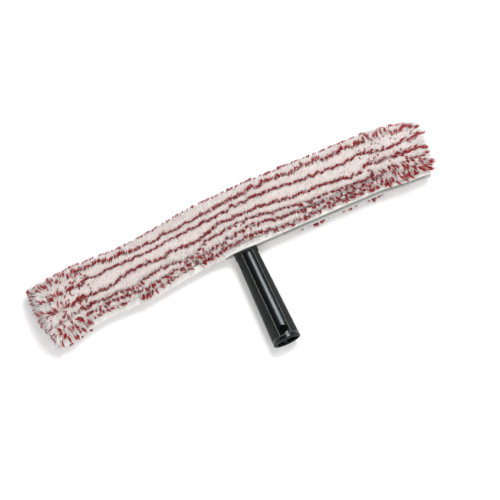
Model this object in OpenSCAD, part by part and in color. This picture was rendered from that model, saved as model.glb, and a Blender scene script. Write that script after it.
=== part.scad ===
// Window scrubber: a T-bar with a hollow pole handle inside a striped microfibre sleeve
// The origin is the centre of the pole socket's mouth. X runs along the bar, Y from the mouth
// to the bar and Z up. The sewn half of the sleeve is at -X and the half with the open seam at +X.

/* [Crossbar] */
// Length of the hollow bar without its end caps
bar_length = 428; // [340:4:440]
// Depth of the bar from its handle side to its back
bar_width = 38; // [34:1:44]
// Thickness of the bar
bar_thickness = 12; // [10:0.5:14]
// Wall of the hollow bar
bar_wall = 2; // [1.4:0.1:2.4]
// Radius of the bar's long edges
bar_edge = 3; // [2.6:0.1:3.6]
// Length of a water slot
slot_length = 22; // [14:1:26]
// Width of a water slot
slot_width = 6; // [4:0.5:8]
// Distance from one water slot to the next
slot_pitch = 33; // [30:1:36]
// Water slots on each side of the handle
slot_count = 5; // [3:1:5]
// Thickness of an end cap's flange
cap_flange = 2; // [1.5:0.1:3]
// Length of an end cap's plug inside the bar
cap_plug = 12; // [8:1:16]

/* [Handle] */
// Distance from the socket's mouth to the bar's centre line
reach = 142.5; // [138:0.5:170]
// Outer diameter at the mouth
mouth_diameter = 31; // [30.5:0.1:33]
// Outer diameter where the handle meets the sleeve
neck_diameter = 25.4; // [24.5:0.1:27]
// Length of the collar at the mouth
collar_length = 5; // [3:0.5:8]
// Height of the collar above the tube behind it
collar_step = 0.35; // [0.2:0.05:0.6]
// Diameter of the straight part of the pole socket
socket_diameter = 25; // [24:0.1:25.6]
// Length of the straight part of the pole socket
socket_depth = 45; // [35:1:50]
// Length of the socket's narrowing part
socket_taper = 52; // [30:1:56]
// Diameter of the socket's floor
socket_floor = 18; // [14:0.5:19]
// Diameter of the hole for a pole's lock button
lock_hole_diameter = 9; // [7:0.5:10]
// Distance from the mouth to the lock hole's centre
lock_hole_from_mouth = 11.5; // [11:0.5:18]
// Width of the polished strip along the top
strip_width = 12.6; // [11:0.2:15]
// Height of the polished strip above the tube
strip_rise = 0.45; // [0.3:0.05:0.6]
// Distance from the mouth to the start of the polished strip
strip_start = 6; // [5.5:0.5:8]
// Bare length of tube between the polished strip and the shoulder
strip_end = 9; // [7:0.5:14]
// Radius of the rounded shoulder at the sleeve
shoulder_radius = 5; // [3:0.5:7]

/* [Yoke] */
// Length of the yoke along the bar
yoke_length = 46; // [42:1:54]
// Thickness of each jaw over the bar
jaw_thickness = 2.2; // [1.8:0.1:2.8]
// Radius of the jaws' corners
jaw_corner = 4; // [2:0.5:6]
// Half width of the web where it leaves the handle
web_half_width = 13; // [11:0.5:14]
// Run of the ramp that joins the upper jaw to the web
ramp_run = 2.1; // [1.5:0.1:2.4]
// Distance of each clamp screw from the handle's axis
screw_offset = 15; // [12:0.5:16]
// Diameter of the bosses that pass through the bar
boss_diameter = 8; // [7:0.5:9]
// Diameter of a clamp screw's shank
screw_diameter = 3.5; // [3:0.1:4]
// Length of a clamp screw
screw_length = 12; // [9:0.5:14]
// Diameter of a clamp screw's countersunk head
screw_head = 6.6; // [6:0.1:7]

/* [Sleeve] */
// Thickness of the woven backing
fabric = 1.2; // [0.8:0.1:1.6]
// Free height between the jaws and the backing
slack_height = 1; // [0.8:0.1:2]
// Free depth behind the bar
slack_back = 13.2; // [8:0.2:16]
// Free length between an end cap and the sleeve's end
slack_end = 4.8; // [3:0.2:8]
// Reach of the lips beyond the bar's handle side
lip_reach = 12; // [11:0.5:14]
// Width of a lip from its fold to its edge
lip_width = 13.5; // [13:0.1:14]
// Gap between the web and the lips beside it
web_gap = 0.4; // [0.3:0.05:0.8]
// Distance from the yoke to the end of the sewn seam
seam_gap = 1; // [0.5:0.5:6]
// Distance from the yoke to the closing flaps
flap_start = 22; // [12:1:30]
// Sag of the sewn half towards the handle
sag_depth = 10.5; // [0:0.5:11]
// Length over which the sewn half sags
sag_run = 120; // [80:5:160]
// Width of the bare hem along the lips
hem_width = 5; // [4:0.5:6]
// Thickness of the hem tape
hem_thickness = 0.6; // [0.4:0.1:0.9]
// Gap between the hem and the handle's shoulder
shoulder_gap = 1.3; // [0.8:0.1:3]

/* [Closure] */
// Gap between a flap and the backing at its fold
fold_gap = 0.7; // [0.6:0.05:1]
// Width of the hook strip and of the loop strip
closure_width = 8; // [5:0.5:8.5]
// Thickness of the hook strip and of the loop strip
closure_thickness = 1.2; // [0.8:0.1:1.3]

/* [Pile] */
// Height of the microfibre pile above the backing on top
pile_height = 7.4; // [5:0.2:9]
// Height of the pile along the back edge
back_height = 6.1; // [5:0.1:8]
// Lean of the pile over the hem, in degrees
pile_lean = 26; // [10:1:35]
// Loss of height at the pile's handle-side edge
front_drop = 1.6; // [0.5:0.1:2.5]
// Crown of each white lane between two red rows
lane_crown = 0.7; // [0.2:0.1:1]
// Red rows on the flat of each side
flat_rows = 5; // [4:1:6]
// Angle from the flat to the first red row round the back, in degrees
back_row_angle = 28; // [24:1:40]
// Distance from the fold to the red row on a lip
lip_row = 4.5; // [3.5:0.1:5]
// Width of the parting that a red row stands in
parting_width = 2; // [1.8:0.1:2.4]
// Depth of the trough that the red strands of the underside lie in
trough_depth = 1.2; // [1:0.1:1.5]
// Half width of that trough
trough_half_width = 2.6; // [2.2:0.1:2.8]
// Spread of the pile beyond the open end
open_end_spread = 10; // [4:0.5:12]
// Length of the pile over the closed end
closed_end_length = 13; // [8:0.5:15]

/* [Red strands] */
// Distance between strands along a row
strand_pitch = 14; // [13.4:0.1:18]
// Width of a strand at its root
strand_root = 1.4; // [1:0.1:1.5]
// Rise of a strand above the pile
strand_rise = 2.8; // [1.5:0.1:4]
// Reach of a strand along the row at the sleeve's ends
strand_comb = 5.5; // [3:0.5:6]

/* [Hidden] */
$fn = 48;
small_fn = 24;

plug_clearance = 0.1; // between an end cap's plug and the bar
boss_clearance = 0.2; // between a boss and its hole in the bar
thread_clearance = 0.05; // between a screw and its pilot hole
skin_gap = 0.1; // between pieces sewn or bonded face to face
arc_gap = 0.3; // between the round back of the backing and the pile's feet on it
stitch_gap = 0.05; // between a stitch and the hem below it
mouth_chamfer = 0.8;
screw_head_height = 1.8;
screw_recess = 2.4;
screw_recess_depth = 1.1;
stitch_length = 3.2;
stitch_width = 0.5;
stitch_height = 0.3;
stitch_pitch = 9;
arc_steps = 6;

// Sleeve section, seen along the bar from its centre line, with the handle at -Y
half_bar = bar_width / 2;
inner_half = bar_thickness / 2 + jaw_thickness + slack_height;
outer_half = inner_half + fabric;
tip_y = -(half_bar + lip_reach);
fold_y = tip_y + lip_width;
arc_y = half_bar + slack_back - inner_half;
back_u = arc_y + outer_half * PI / 2;
open_lip_z = bar_thickness / 2 + web_gap + fabric / 2;
flap_lip_z = open_lip_z + closure_thickness;
sewn_lip_z = fabric / 2 + skin_gap;
pile_front = tip_y + hem_width;
pile_start = pile_front + hem_thickness; // clear of the hem below the leaning pile
bottom_height = mouth_diameter / 2 - outer_half;
flap_clearance = 0.6; // height of the lower flap's pile above the floor
upright_y = fold_y + 7; // where the pile stops leaning over the hem

// Lengths along the bar
neck_left = yoke_length / 2 + seam_gap;
neck_right = yoke_length / 2 + flap_start;
sleeve_half = bar_length / 2 + cap_flange + slack_end + fabric;
sewn_start = -neck_left;
sewn_length = sleeve_half - neck_left;
sewn_cells = floor(sewn_length / strand_pitch);
sewn_pitch = sewn_length / sewn_cells;
tube_end = reach + tip_y - hem_thickness - skin_gap - shoulder_gap;

first_row = fold_y + 2.5;
last_row = arc_y - 2.5;
row_step = (last_row - first_row) / (flat_rows - 1);
flat_row_list = [for (k = [0 : flat_rows - 1]) first_row + k * row_step];
back_row = arc_y + outer_half * PI / 180 * back_row_angle;
lip_row_u = fold_y - lip_row;

// Stations of the sewn half: its kinks lie at the middle of a strand
sewn_stations = concat(
  [sewn_start],
  [for (k = [1 : 2 : sewn_cells - 2]) sewn_start - (k + 0.5) * sewn_pitch],
  [-sleeve_half]
);

function smooth(t) = let (c = max(0, min(1, t))) c * c * (3 - 2 * c);
function mix(a, b, t) = a + (b - a) * t;
function sag_at(x) = -sag_depth * smooth((sewn_start - x) / sag_run);

// Sag between two stations is a straight line, so every piece of the sewn half bends alike
function sag(x) =
  x >= sewn_start ? 0
  : let (k = max([for (i = [0 : len(sewn_stations) - 2]) sewn_stations[i] >= x - 0.001 ? i : 0]),
         a = sewn_stations[k],
         b = sewn_stations[k + 1])
    mix(sag_at(a), sag_at(b), (a - x) / (a - b));

// Outer face of the backing at u: across the lip and the flat, then round the back
function face(u, lip_z) =
  u < fold_y ? [u, mix(inner_half + fabric / 2, lip_z, (fold_y - u) / lip_width) + fabric / 2]
  : u < arc_y ? [u, outer_half]
  : let (a = (u - arc_y) / outer_half * 180 / PI)
    [arc_y + outer_half * sin(a), outer_half * cos(a)];

// Direction of the pile at u, upright on the flat, leaning over the hem and radial at the back
function lean(u) =
  u < arc_y ? -pile_lean * smooth((upright_y - u) / (upright_y - tip_y))
  : (u - arc_y) / outer_half * 180 / PI;
function pile_way(u) = [sin(lean(u)), cos(lean(u))];
function along_way(u) = [cos(lean(u)), -sin(lean(u))];

function height(u, flat) =
  u > arc_y ? mix(flat, back_height, pow((u - arc_y) / (back_u - arc_y), 2))
  : flat - front_drop * pow(max(0, (fold_y - u) / (fold_y - pile_front)), 2);

// Marks along u: [u, what], where what is plain, crown, parting or trough
plain = 0;
crown = 1;
parting = 2;
trough = 3;

function top_row_marks(r) = [
  [r - parting_width / 2, plain],
  [r, parting],
  [r + parting_width / 2, plain]
];
function bottom_row_marks(r) = [
  [r - trough_half_width, plain],
  [r - parting_width / 2, trough],
  [r, parting],
  [r + parting_width / 2, trough],
  [r + trough_half_width, plain]
];
function row_marks(r, top) = top ? top_row_marks(r) : bottom_row_marks(r);
// Crown between two rows, and on the upper side over the backing's crease where that lies between them
function middle(a, b, top) =
  [top && a < fold_y - 1 && b > fold_y + 1 ? fold_y : (a + b) / 2, crown];
function marks(from, to, rows, top) = concat(
  [[from, plain]],
  [for (i = [0 : len(rows) - 1])
    each concat([middle(i == 0 ? from : rows[i - 1], rows[i], top)], row_marks(rows[i], top))],
  [middle(rows[len(rows) - 1], to, top)],
  [[to, plain]]
);

// Room for a strand of the underside above the surface that the scrubber lies on
function floor_rise(u) =
  (mouth_diameter / 2 - face(u, open_lip_z)[1]) / cos(lean(u)) - height(u, bottom_height) - 0.6;

function mark_height(m, flat, crown_height) =
  m[1] == parting ? skin_gap + 0.5
  : m[1] == crown ? height(m[0], flat) + crown_height
  : m[1] == trough ? height(m[0], flat) - trough_depth
  : height(m[0], flat);

// A point at height h over u, at x along the bar, on the upper side or the lower side
function place(x, u, h, lip_z, side) =
  let (p = face(u, lip_z) + h * pile_way(u)) [x, p[0] + sag(x), p[1] * side];

function pile_point(x, m, flat, crown_height, lip_z, side, spread) =
  let (h = mark_height(m, flat, crown_height))
    place(x + spread * h / flat, m[0], h, lip_z, side);

module at_bar() translate([0, reach, 0]) children();

// Closed strip between two sheets of points, each a list of stations of equal length
module shell(outer, inner, side) {
  n = len(outer[0]);
  m = len(outer);
  o = function (j, i) j * n + i;
  q = function (j, i) (m + j) * n + i;
  skins = [for (j = [0 : m - 2]) for (i = [0 : n - 2]) each [
    [o(j, i), o(j + 1, i), o(j + 1, i + 1)],
    [o(j, i), o(j + 1, i + 1), o(j, i + 1)],
    [q(j, i), q(j + 1, i + 1), q(j + 1, i)],
    [q(j, i), q(j, i + 1), q(j + 1, i + 1)]
  ]];
  edges = [for (j = [0 : m - 2]) each [
    [o(j, 0), q(j + 1, 0), o(j + 1, 0)],
    [o(j, 0), q(j, 0), q(j + 1, 0)],
    [o(j, n - 1), o(j + 1, n - 1), q(j + 1, n - 1)],
    [o(j, n - 1), q(j + 1, n - 1), q(j, n - 1)]
  ]];
  ends = [for (i = [0 : n - 2]) each [
    [o(0, i), o(0, i + 1), q(0, i + 1)],
    [o(0, i), q(0, i + 1), q(0, i)],
    [o(m - 1, i), q(m - 1, i + 1), o(m - 1, i + 1)],
    [o(m - 1, i), q(m - 1, i), q(m - 1, i + 1)]
  ]];
  all = concat(skins, edges, ends);
  polyhedron(
    points = concat([for (s = outer) each s], [for (s = inner) each s]),
    faces = side < 0 ? all : [for (f = all) [f[0], f[2], f[1]]]
  );
}

// Pile between two sections, lying on the backing
module pile(xs, marks, flat, crown_height, lip_z, side, spread = 0) {
  last = len(xs) - 1;
  shell(
    [for (j = [0 : last]) [for (m = marks)
      pile_point(xs[j], m, flat, crown_height, lip_z, side, j == last ? spread : 0)]],
    [for (x = xs) [for (m = marks) place(x, m[0], skin_gap, lip_z, side)]],
    xs[0] < xs[1] ? side : -side
  );
}

// A row of strands rising from a thin wedge that stands in a parting
module strands(from, count, pitch, u, flat, rise, lip_z, side, comb, seed) {
  foot = skin_gap + 0.9;
  flat_lying = rise < trough_depth && u > fold_y && u < arc_y;
  top = height(u, flat) + (flat_lying ? 0.1 - trough_depth : 0.15);
  half = parting_width / 2 - 0.3;
  centre = [for (k = [0 : count - 1]) from + (k + 0.5) * pitch];
  root = strand_root / 2 * sign(pitch);
  wobble = rands(-1, 1, 2 * count, seed);
  lift = face(u, lip_z) + top * pile_way(u);
  xs = concat([from], [for (c = centre) each [c - root, c + root]], [from + count * pitch]);
  wedge = [for (x = xs) each [
    let (p = lift - half * along_way(u)) [x, p[0] + sag(x), p[1] * side],
    let (p = lift + half * along_way(u)) [x, p[0] + sag(x), p[1] * side],
    place(x, u, foot, lip_z, side)
  ]];
  tips = [for (k = [0 : count - 1])
    let (sideways = min(1.2, 0.4 * rise) * (wobble[2 * k] - 0.5),
         forward = comb * (centre[k] / sleeve_half + 0.35 * wobble[2 * k + 1]),
         p = lift + rise * (1 + 0.15 * min(0, wobble[2 * k])) * pile_way(u)
           + sideways * along_way(u))
      [centre[k] + forward, p[0] + sag(centre[k]), p[1] * side]];
  cells = len(xs) - 1;
  first_tip = 3 * len(xs);
  a = function (j) 3 * j;
  b = function (j) 3 * j + 1;
  c = function (j) 3 * j + 2;
  sides = [for (j = [0 : cells - 1]) each [
    [a(j), c(j), c(j + 1)],
    [a(j), c(j + 1), a(j + 1)],
    [b(j), c(j + 1), c(j)],
    [b(j), b(j + 1), c(j + 1)]
  ]];
  caps = [for (j = [0 : cells - 1]) each (j % 2 == 0
    ? [[a(j), a(j + 1), b(j + 1)], [a(j), b(j + 1), b(j)]]
    : let (t = first_tip + (j - 1) / 2) [
        [a(j), a(j + 1), t],
        [a(j + 1), b(j + 1), t],
        [b(j + 1), b(j), t],
        [b(j), a(j), t]
      ])];
  ends = [[a(0), b(0), c(0)], [a(cells), c(cells), b(cells)]];
  all = concat(sides, caps, ends);
  polyhedron(
    points = concat(wedge, tips),
    faces = side * sign(pitch) < 0 ? all : [for (f = all) [f[0], f[2], f[1]]]
  );
}

function count_in(length) = floor(length / strand_pitch);

module sewn_strands(rows, flat, rise, side, seed) {
  for (i = [0 : len(rows) - 1])
    strands(sewn_start - skin_gap, sewn_cells, -(sewn_length - skin_gap) / sewn_cells, rows[i],
      flat, rise, sewn_lip_z, side, strand_comb, seed + i);
}

module straight_strands(from, to, rows, flat, rise, lip_z, side, seed) {
  n = count_in(to - from);
  for (i = [0 : len(rows) - 1])
    strands(from, n, (to - from) / n, rows[i], flat, rise, lip_z, side, strand_comb, seed + i);
}

// Backing between two marks of u, as a strip of cloth
module backing(xs, us, lip_z, side) {
  shell(
    [for (x = xs) [for (u = us) place(x, u, 0, lip_z, side)]],
    [for (x = xs) [for (u = us) cloth_inside(x, u, lip_z, side)]],
    xs[0] < xs[1] ? side : -side
  );
}
function cloth_inside(x, u, lip_z, side) =
  let (p = face(u, lip_z),
       q = u < arc_y ? [p[0], p[1] - fabric] : p - fabric * pile_way(u))
    [x, q[0] + sag(x), q[1] * side];

// Section of a whole tube of cloth from one lip round to the other
module tube_backing(xs, first_u, lip_z) {
  us = concat([first_u], first_u < fold_y ? [fold_y] : [],
    [for (k = [0 : arc_steps]) mix(arc_y, back_u, k / arc_steps)]);
  n = len(us);
  last = n - 1;
  outer = function (x) concat(
    [for (u = us) place(x, u, 0, lip_z, 1)],
    [for (k = [1 : last]) place(x, us[last - k], 0, lip_z, -1)]);
  inner = function (x) concat(
    [for (u = us) cloth_inside(x, u, lip_z, 1)],
    [for (k = [1 : last]) cloth_inside(x, us[last - k], lip_z, -1)]);
  shell([for (x = xs) outer(x)], [for (x = xs) inner(x)], xs[0] < xs[1] ? 1 : -1);
}

// Hem tape over a lip's edge
module hem(x0, x1, lip_z, side) {
  o = face(pile_front, lip_z)[1];
  t = face(tip_y, lip_z)[1];
  edge = tip_y - skin_gap;
  outer = [
    [pile_front, o + skin_gap + hem_thickness],
    [edge - hem_thickness, t + skin_gap + hem_thickness],
    [edge - hem_thickness, t - fabric]
  ];
  inner = [
    [pile_front, o + skin_gap],
    [edge, t + skin_gap],
    [edge, t - fabric]
  ];
  shell(
    [for (x = [x0, x1]) [for (p = outer) [x, p[0], p[1] * side]]],
    [for (x = [x0, x1]) [for (p = inner) [x, p[0], p[1] * side]]],
    -side
  );
}

// Stitches along a hem
module stitches(from, to, lip_z, side) {
  n = floor(abs(to - from) / stitch_pitch);
  step = (to - from) / n;
  grow = skin_gap + hem_thickness;
  low = face(tip_y, lip_z)[1] + grow;
  high = face(pile_front, lip_z)[1] + grow;
  slope = atan((high - low) / (hem_width + grow));
  y = tip_y + hem_width / 2;
  z = low + (y - tip_y + grow) * tan(slope) + (stitch_gap + stitch_height / 2) / cos(slope);
  for (k = [0 : n - 1]) {
    x = from + (k + 0.5) * step;
    turn = atan2(sag(x + 1) - sag(x - 1), 2);
    translate([x, y + sag(x), z * side])
      rotate([slope * side, 0, turn])
        cube([stitch_length, stitch_width, stitch_height], center = true);
  }
}

module closure_strip(lip_z, side) {
  slope = (inner_half + fabric / 2 - lip_z) / lip_width;
  far = tip_y + 1;
  near = far + closure_width;
  z = function (y) face(y, lip_z)[1] - fabric - skin_gap;
  shell(
    [for (x = [neck_right + 2, sleeve_half - 2]) [for (y = [far, near]) [x, y, z(y) * side]]],
    [for (x = [neck_right + 2, sleeve_half - 2]) [for (y = [far, near])
      [x, y, (z(y) - closure_thickness + skin_gap) * side]]],
    side
  );
}

module rounded_bar(width, thickness, edge, length) {
  rotate([90, 0, 90])
    linear_extrude(length, center = true)
      union() {
        square([width - 2 * edge, thickness], center = true);
        square([width, thickness - 2 * edge], center = true);
        for (a = [-1, 1]) for (b = [-1, 1])
          translate([a * (width / 2 - edge), b * (thickness / 2 - edge)]) circle(edge, $fn = small_fn);
      }
}

module rounded_plate(length, width, corner, thickness) {
  linear_extrude(thickness)
    union() {
      square([length - 2 * corner, width], center = true);
      square([length, width - 2 * corner], center = true);
      for (a = [-1, 1]) for (b = [-1, 1])
        translate([a * (length / 2 - corner), b * (width / 2 - corner)]) circle(corner, $fn = small_fn);
    }
}

// Outline of the handle: radius against distance from the mouth
function handle_outline(extra) = concat(
  [
    [0, 0],
    [mouth_diameter / 2 - mouth_chamfer, 0],
    [mouth_diameter / 2, mouth_chamfer],
    [mouth_diameter / 2, collar_length],
    [mouth_diameter / 2 - collar_step + extra, collar_length + collar_step]
  ],
  [for (k = [0 : arc_steps]) let (a = 90 * k / arc_steps) [
    neck_diameter / 2 - shoulder_radius + shoulder_radius * cos(a) + extra * cos(a),
    tube_end - shoulder_radius + shoulder_radius * sin(a)
  ]],
  [[0, tube_end]]
);

module along_handle() rotate([-90, 0, 0]) children();

module polished_strip() {
  length = tube_end - strip_end - strip_start;
  intersection() {
    along_handle() rotate_extrude() polygon(handle_outline(strip_rise));
    translate([-strip_width / 2, strip_start, 0]) cube([strip_width, length, mouth_diameter]);
  }
}

// Web between the handle and the jaws, flaring to the yoke's full length at the bar
module web() {
  front = reach - half_bar;
  flare = yoke_length / 2 - web_half_width;
  outline = concat(
    [[web_half_width, tube_end - shoulder_radius]],
    [for (k = [0 : 8]) let (a = 90 * k / 8) [
      yoke_length / 2 - flare * cos(a),
      front - flare + flare * sin(a)
    ]]
  );
  linear_extrude(bar_thickness, center = true)
    polygon(concat(outline, [for (k = [1 : len(outline)])
      [-outline[len(outline) - k][0], outline[len(outline) - k][1]]]));
}

// Ramp from the web up to the upper jaw, clear of the lips and their hook strip
module jaw_ramp() {
  front = reach - half_bar;
  low = bar_thickness / 2;
  high = low + jaw_thickness;
  top_start = front - 1.4;
  length = 2 * (neck_left - 3);
  translate([-length / 2, 0, 0])
    rotate([90, 0, 90])
      linear_extrude(length)
        polygon([
          [top_start - ramp_run, low - 1],
          [top_start - ramp_run, low],
          [top_start, high],
          [front + 1, high],
          [front + 1, low - 1]
        ]);
}

module screw_places() {
  for (a = [-1, 1]) translate([a * screw_offset, reach, 0]) children();
}

module handle() {
  jaw_z = bar_thickness / 2;
  socket_end = socket_depth + socket_taper;
  color([0.11, 0.11, 0.12])
    difference() {
      union() {
        along_handle() rotate_extrude() polygon(handle_outline(0));
        polished_strip();
        web();
        translate([0, reach, jaw_z]) rounded_plate(yoke_length, bar_width, jaw_corner, jaw_thickness);
        jaw_ramp();
        screw_places()
          translate([0, 0, -bar_thickness / 2]) cylinder(d = boss_diameter, h = bar_thickness + 1);
      }
      along_handle() rotate_extrude() polygon([
        [0, -1],
        [socket_diameter / 2, -1],
        [socket_diameter / 2, socket_depth],
        [socket_floor / 2, socket_end],
        [0, socket_end]
      ]);
      translate([0, lock_hole_from_mouth, 0]) cylinder(d = lock_hole_diameter, h = mouth_diameter);
      translate([-yoke_length / 2, reach - half_bar, -jaw_z])
        difference() {
          cube([yoke_length, bar_width, bar_thickness]);
          for (a = [-1, 1]) translate([yoke_length / 2 + a * screw_offset, half_bar, -1])
            cylinder(d = boss_diameter, h = bar_thickness + 2);
        }
      screw_places()
        translate([0, 0, -jaw_z - jaw_thickness])
          cylinder(d = screw_diameter + 2 * thread_clearance, h = screw_length + 0.3);
    }
}

module clamp_plate() {
  color([0.12, 0.12, 0.13])
    translate([0, 0, -bar_thickness / 2 - jaw_thickness])
      difference() {
        translate([0, reach, 0]) rounded_plate(yoke_length, bar_width, jaw_corner, jaw_thickness);
        screw_places() {
          translate([0, 0, -1]) cylinder(d = screw_diameter + 0.4, h = jaw_thickness + 2);
          translate([0, 0, -0.01])
            cylinder(d1 = screw_head + 0.3, d2 = screw_diameter + 0.3, h = screw_head_height);
        }
      }
}

module clamp_screws() {
  color([0.7, 0.71, 0.72])
    screw_places()
      translate([0, 0, -bar_thickness / 2 - jaw_thickness])
        difference() {
          union() {
            cylinder(d1 = screw_head, d2 = screw_diameter, h = screw_head_height, $fn = small_fn);
            cylinder(d = screw_diameter, h = screw_length, $fn = small_fn);
          }
          translate([0, 0, -0.01]) cylinder(d = screw_recess, h = screw_recess_depth, $fn = 6);
        }
}

module crossbar() {
  first = neck_right + slot_length / 2 - 8;
  color([0.13, 0.13, 0.14])
    at_bar()
      difference() {
        rounded_bar(bar_width, bar_thickness, bar_edge, bar_length);
        rounded_bar(bar_width - 2 * bar_wall, bar_thickness - 2 * bar_wall,
          max(0.2, bar_edge - bar_wall), bar_length + 2);
        for (a = [-1, 1]) {
          for (k = [0 : slot_count - 1])
            if (first + k * slot_pitch + slot_length / 2 < bar_length / 2 - cap_plug - 3)
              translate([a * (first + k * slot_pitch), 0, -bar_thickness / 2 - 1])
                rounded_plate(slot_length, slot_width, slot_width / 2 - 0.01, bar_thickness + 2);
          translate([a * screw_offset, 0, -bar_thickness / 2 - 1])
            cylinder(d = boss_diameter + 2 * boss_clearance, h = bar_thickness + 2);
        }
      }
}

module end_cap() {
  inner_edge = max(0.2, bar_edge - bar_wall);
  inset = bar_wall + plug_clearance;
  color([0.12, 0.12, 0.13])
    union() {
      translate([cap_flange / 2, 0, 0])
        rounded_bar(bar_width, bar_thickness, bar_edge, cap_flange);
      translate([-cap_plug / 2 + 0.5, 0, 0])
        rounded_bar(bar_width - 2 * inset, bar_thickness - 2 * inset, inner_edge, cap_plug + 1);
    }
}
module left_end_cap() at_bar() mirror([1, 0, 0]) translate([bar_length / 2, 0, 0]) end_cap();
module right_end_cap() at_bar() translate([bar_length / 2, 0, 0]) end_cap();

cloth_colour = [0.82, 0.8, 0.77];
tape_colour = [0.86, 0.85, 0.83];
pile_colour = [0.9, 0.87, 0.84];
red_colour = [0.62, 0.13, 0.15];
sewn_xs = [for (x = sewn_stations) max(x, -sleeve_half + fabric)];

module sewn_backing() color(cloth_colour) at_bar() tube_backing(sewn_xs, tip_y, sewn_lip_z);

module split_backing() color(cloth_colour)
  at_bar() tube_backing([sewn_start + skin_gap, sleeve_half], fold_y + fold_gap / 2, open_lip_z);

module neck_lips() color(cloth_colour)
  at_bar()
    for (side = [-1, 1])
      backing([sewn_start + skin_gap, neck_right - skin_gap], [tip_y, fold_y + fold_gap / 2 - skin_gap],
        open_lip_z, side);

module closed_end_panel() {
  us = concat([tip_y, fold_y], [for (k = [0 : arc_steps]) mix(arc_y, back_u, k / arc_steps)]);
  side_points = [for (u = us) face(u, sewn_lip_z)];
  outline = concat(side_points, [for (k = [2 : len(us)]) let (p = side_points[len(us) - k]) [p[0], -p[1]]]);
  color(cloth_colour)
    at_bar()
      translate([-sleeve_half, sag(-sleeve_half), 0])
        rotate([90, 0, 90]) linear_extrude(fabric - skin_gap) polygon(outline);
}

module seam_hem() {
  grow = skin_gap + hem_thickness;
  z = function (y) face(y, sewn_lip_z)[1];
  outer = [
    [pile_front, z(pile_front) + grow],
    [tip_y - grow, z(tip_y) + grow],
    [tip_y - grow, -z(tip_y) - grow],
    [pile_front, -z(pile_front) - grow]
  ];
  inner = [
    [pile_front, z(pile_front) + skin_gap],
    [tip_y - skin_gap, z(tip_y) + skin_gap],
    [tip_y - skin_gap, -z(tip_y) - skin_gap],
    [pile_front, -z(pile_front) - skin_gap]
  ];
  color(tape_colour)
    at_bar()
      shell(
        [for (x = sewn_stations) [for (p = outer) [x, p[0] + sag(x), p[1]]]],
        [for (x = sewn_stations) [for (p = inner) [x, p[0] + sag(x), p[1]]]],
        1
      );
}

module neck_hems() color(tape_colour)
  at_bar()
    for (side = [-1, 1]) hem(sewn_start + skin_gap, neck_right - skin_gap, open_lip_z, side);

module seam_stitching() color([0.93, 0.92, 0.9])
  at_bar() for (side = [-1, 1]) stitches(sewn_start, -sleeve_half, sewn_lip_z, side);

module sewn_pile(side, from, to, rows) {
  top = side > 0;
  pile(sewn_stations, marks(from, to, rows, top), top ? pile_height : bottom_height,
    top ? lane_crown : 0, sewn_lip_z, side);
}

module split_pile(side, from, to, rows) {
  top = side > 0;
  pile([sewn_start + skin_gap, sleeve_half], marks(from, to, rows, top),
    top ? pile_height : bottom_height, top ? lane_crown : 0, open_lip_z, side, open_end_spread);
}

lip_and_flat_rows = concat([lip_row_u], flat_row_list);

module top_pile_sewn_half() color(pile_colour)
  at_bar() sewn_pile(1, pile_start, arc_y, lip_and_flat_rows);

module bottom_pile_sewn_half() color(pile_colour)
  at_bar() sewn_pile(-1, pile_start, arc_y, lip_and_flat_rows);

module top_pile_split_half() color(pile_colour)
  at_bar() split_pile(1, fold_y + fold_gap / 2, arc_y, flat_row_list);

module bottom_pile_split_half() color(pile_colour)
  at_bar() split_pile(-1, fold_y + fold_gap / 2, arc_y, flat_row_list);

// Pile round the back: one red row above, one at the middle and one below
module back_pile(xs, spread) {
  from = arc_y + skin_gap;
  half_parting = parting_width / 2;
  steps = function (a, b, n) [for (k = [1 : n]) [mix(a, b, k / (n + 1)), plain]];
  upper = concat([[from, plain]], top_row_marks(back_row),
    steps(back_row + half_parting, back_u - half_parting, 3), [[back_u - half_parting, plain]]);
  last = len(upper) - 1;
  x_end = len(xs) - 1;
  way = xs[0] < xs[1] ? 1 : -1;
  side_points = function (x, side, grow) [for (m = upper)
    let (flat = side > 0 ? pile_height : bottom_height)
      pile_point(x, m, flat, 0, open_lip_z, side, grow)];
  side_feet = function (x, side) [for (m = upper) place(x, m[0], arc_gap, open_lip_z, side)];
  backwards = function (list) [for (k = [0 : last]) list[last - k]];
  shell(
    [for (j = [0 : x_end]) let (grow = j == x_end ? spread : 0)
      concat(side_points(xs[j], 1, grow),
        [place(xs[j], back_u, skin_gap + 0.5, open_lip_z, 1)],
        backwards(side_points(xs[j], -1, grow)))],
    [for (x = xs)
      concat(side_feet(x, 1), [place(x, back_u, arc_gap, open_lip_z, 1)], backwards(side_feet(x, -1)))],
    way
  );
}

module back_pile_sewn_half() color(pile_colour) at_bar() back_pile(sewn_stations, 0);

module back_pile_split_half() color(pile_colour)
  at_bar() back_pile([sewn_start + skin_gap, sleeve_half], open_end_spread);

module lip_pile(from, to, flat, lip_z, side, spread) {
  end_u = fold_y + (from < 0 ? fold_gap / 2 - skin_gap : -fold_gap / 2);
  pile([from, to], marks(pile_start, end_u, [lip_row_u], true), flat, 0, lip_z, side, spread);
}

module neck_pile() color(pile_colour)
  at_bar() {
    lip_pile(sewn_start + skin_gap, neck_right - skin_gap, pile_height, open_lip_z, 1, 0);
    lip_pile(sewn_start + skin_gap, neck_right - skin_gap, bottom_height, open_lip_z, -1, 0);
  }

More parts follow.
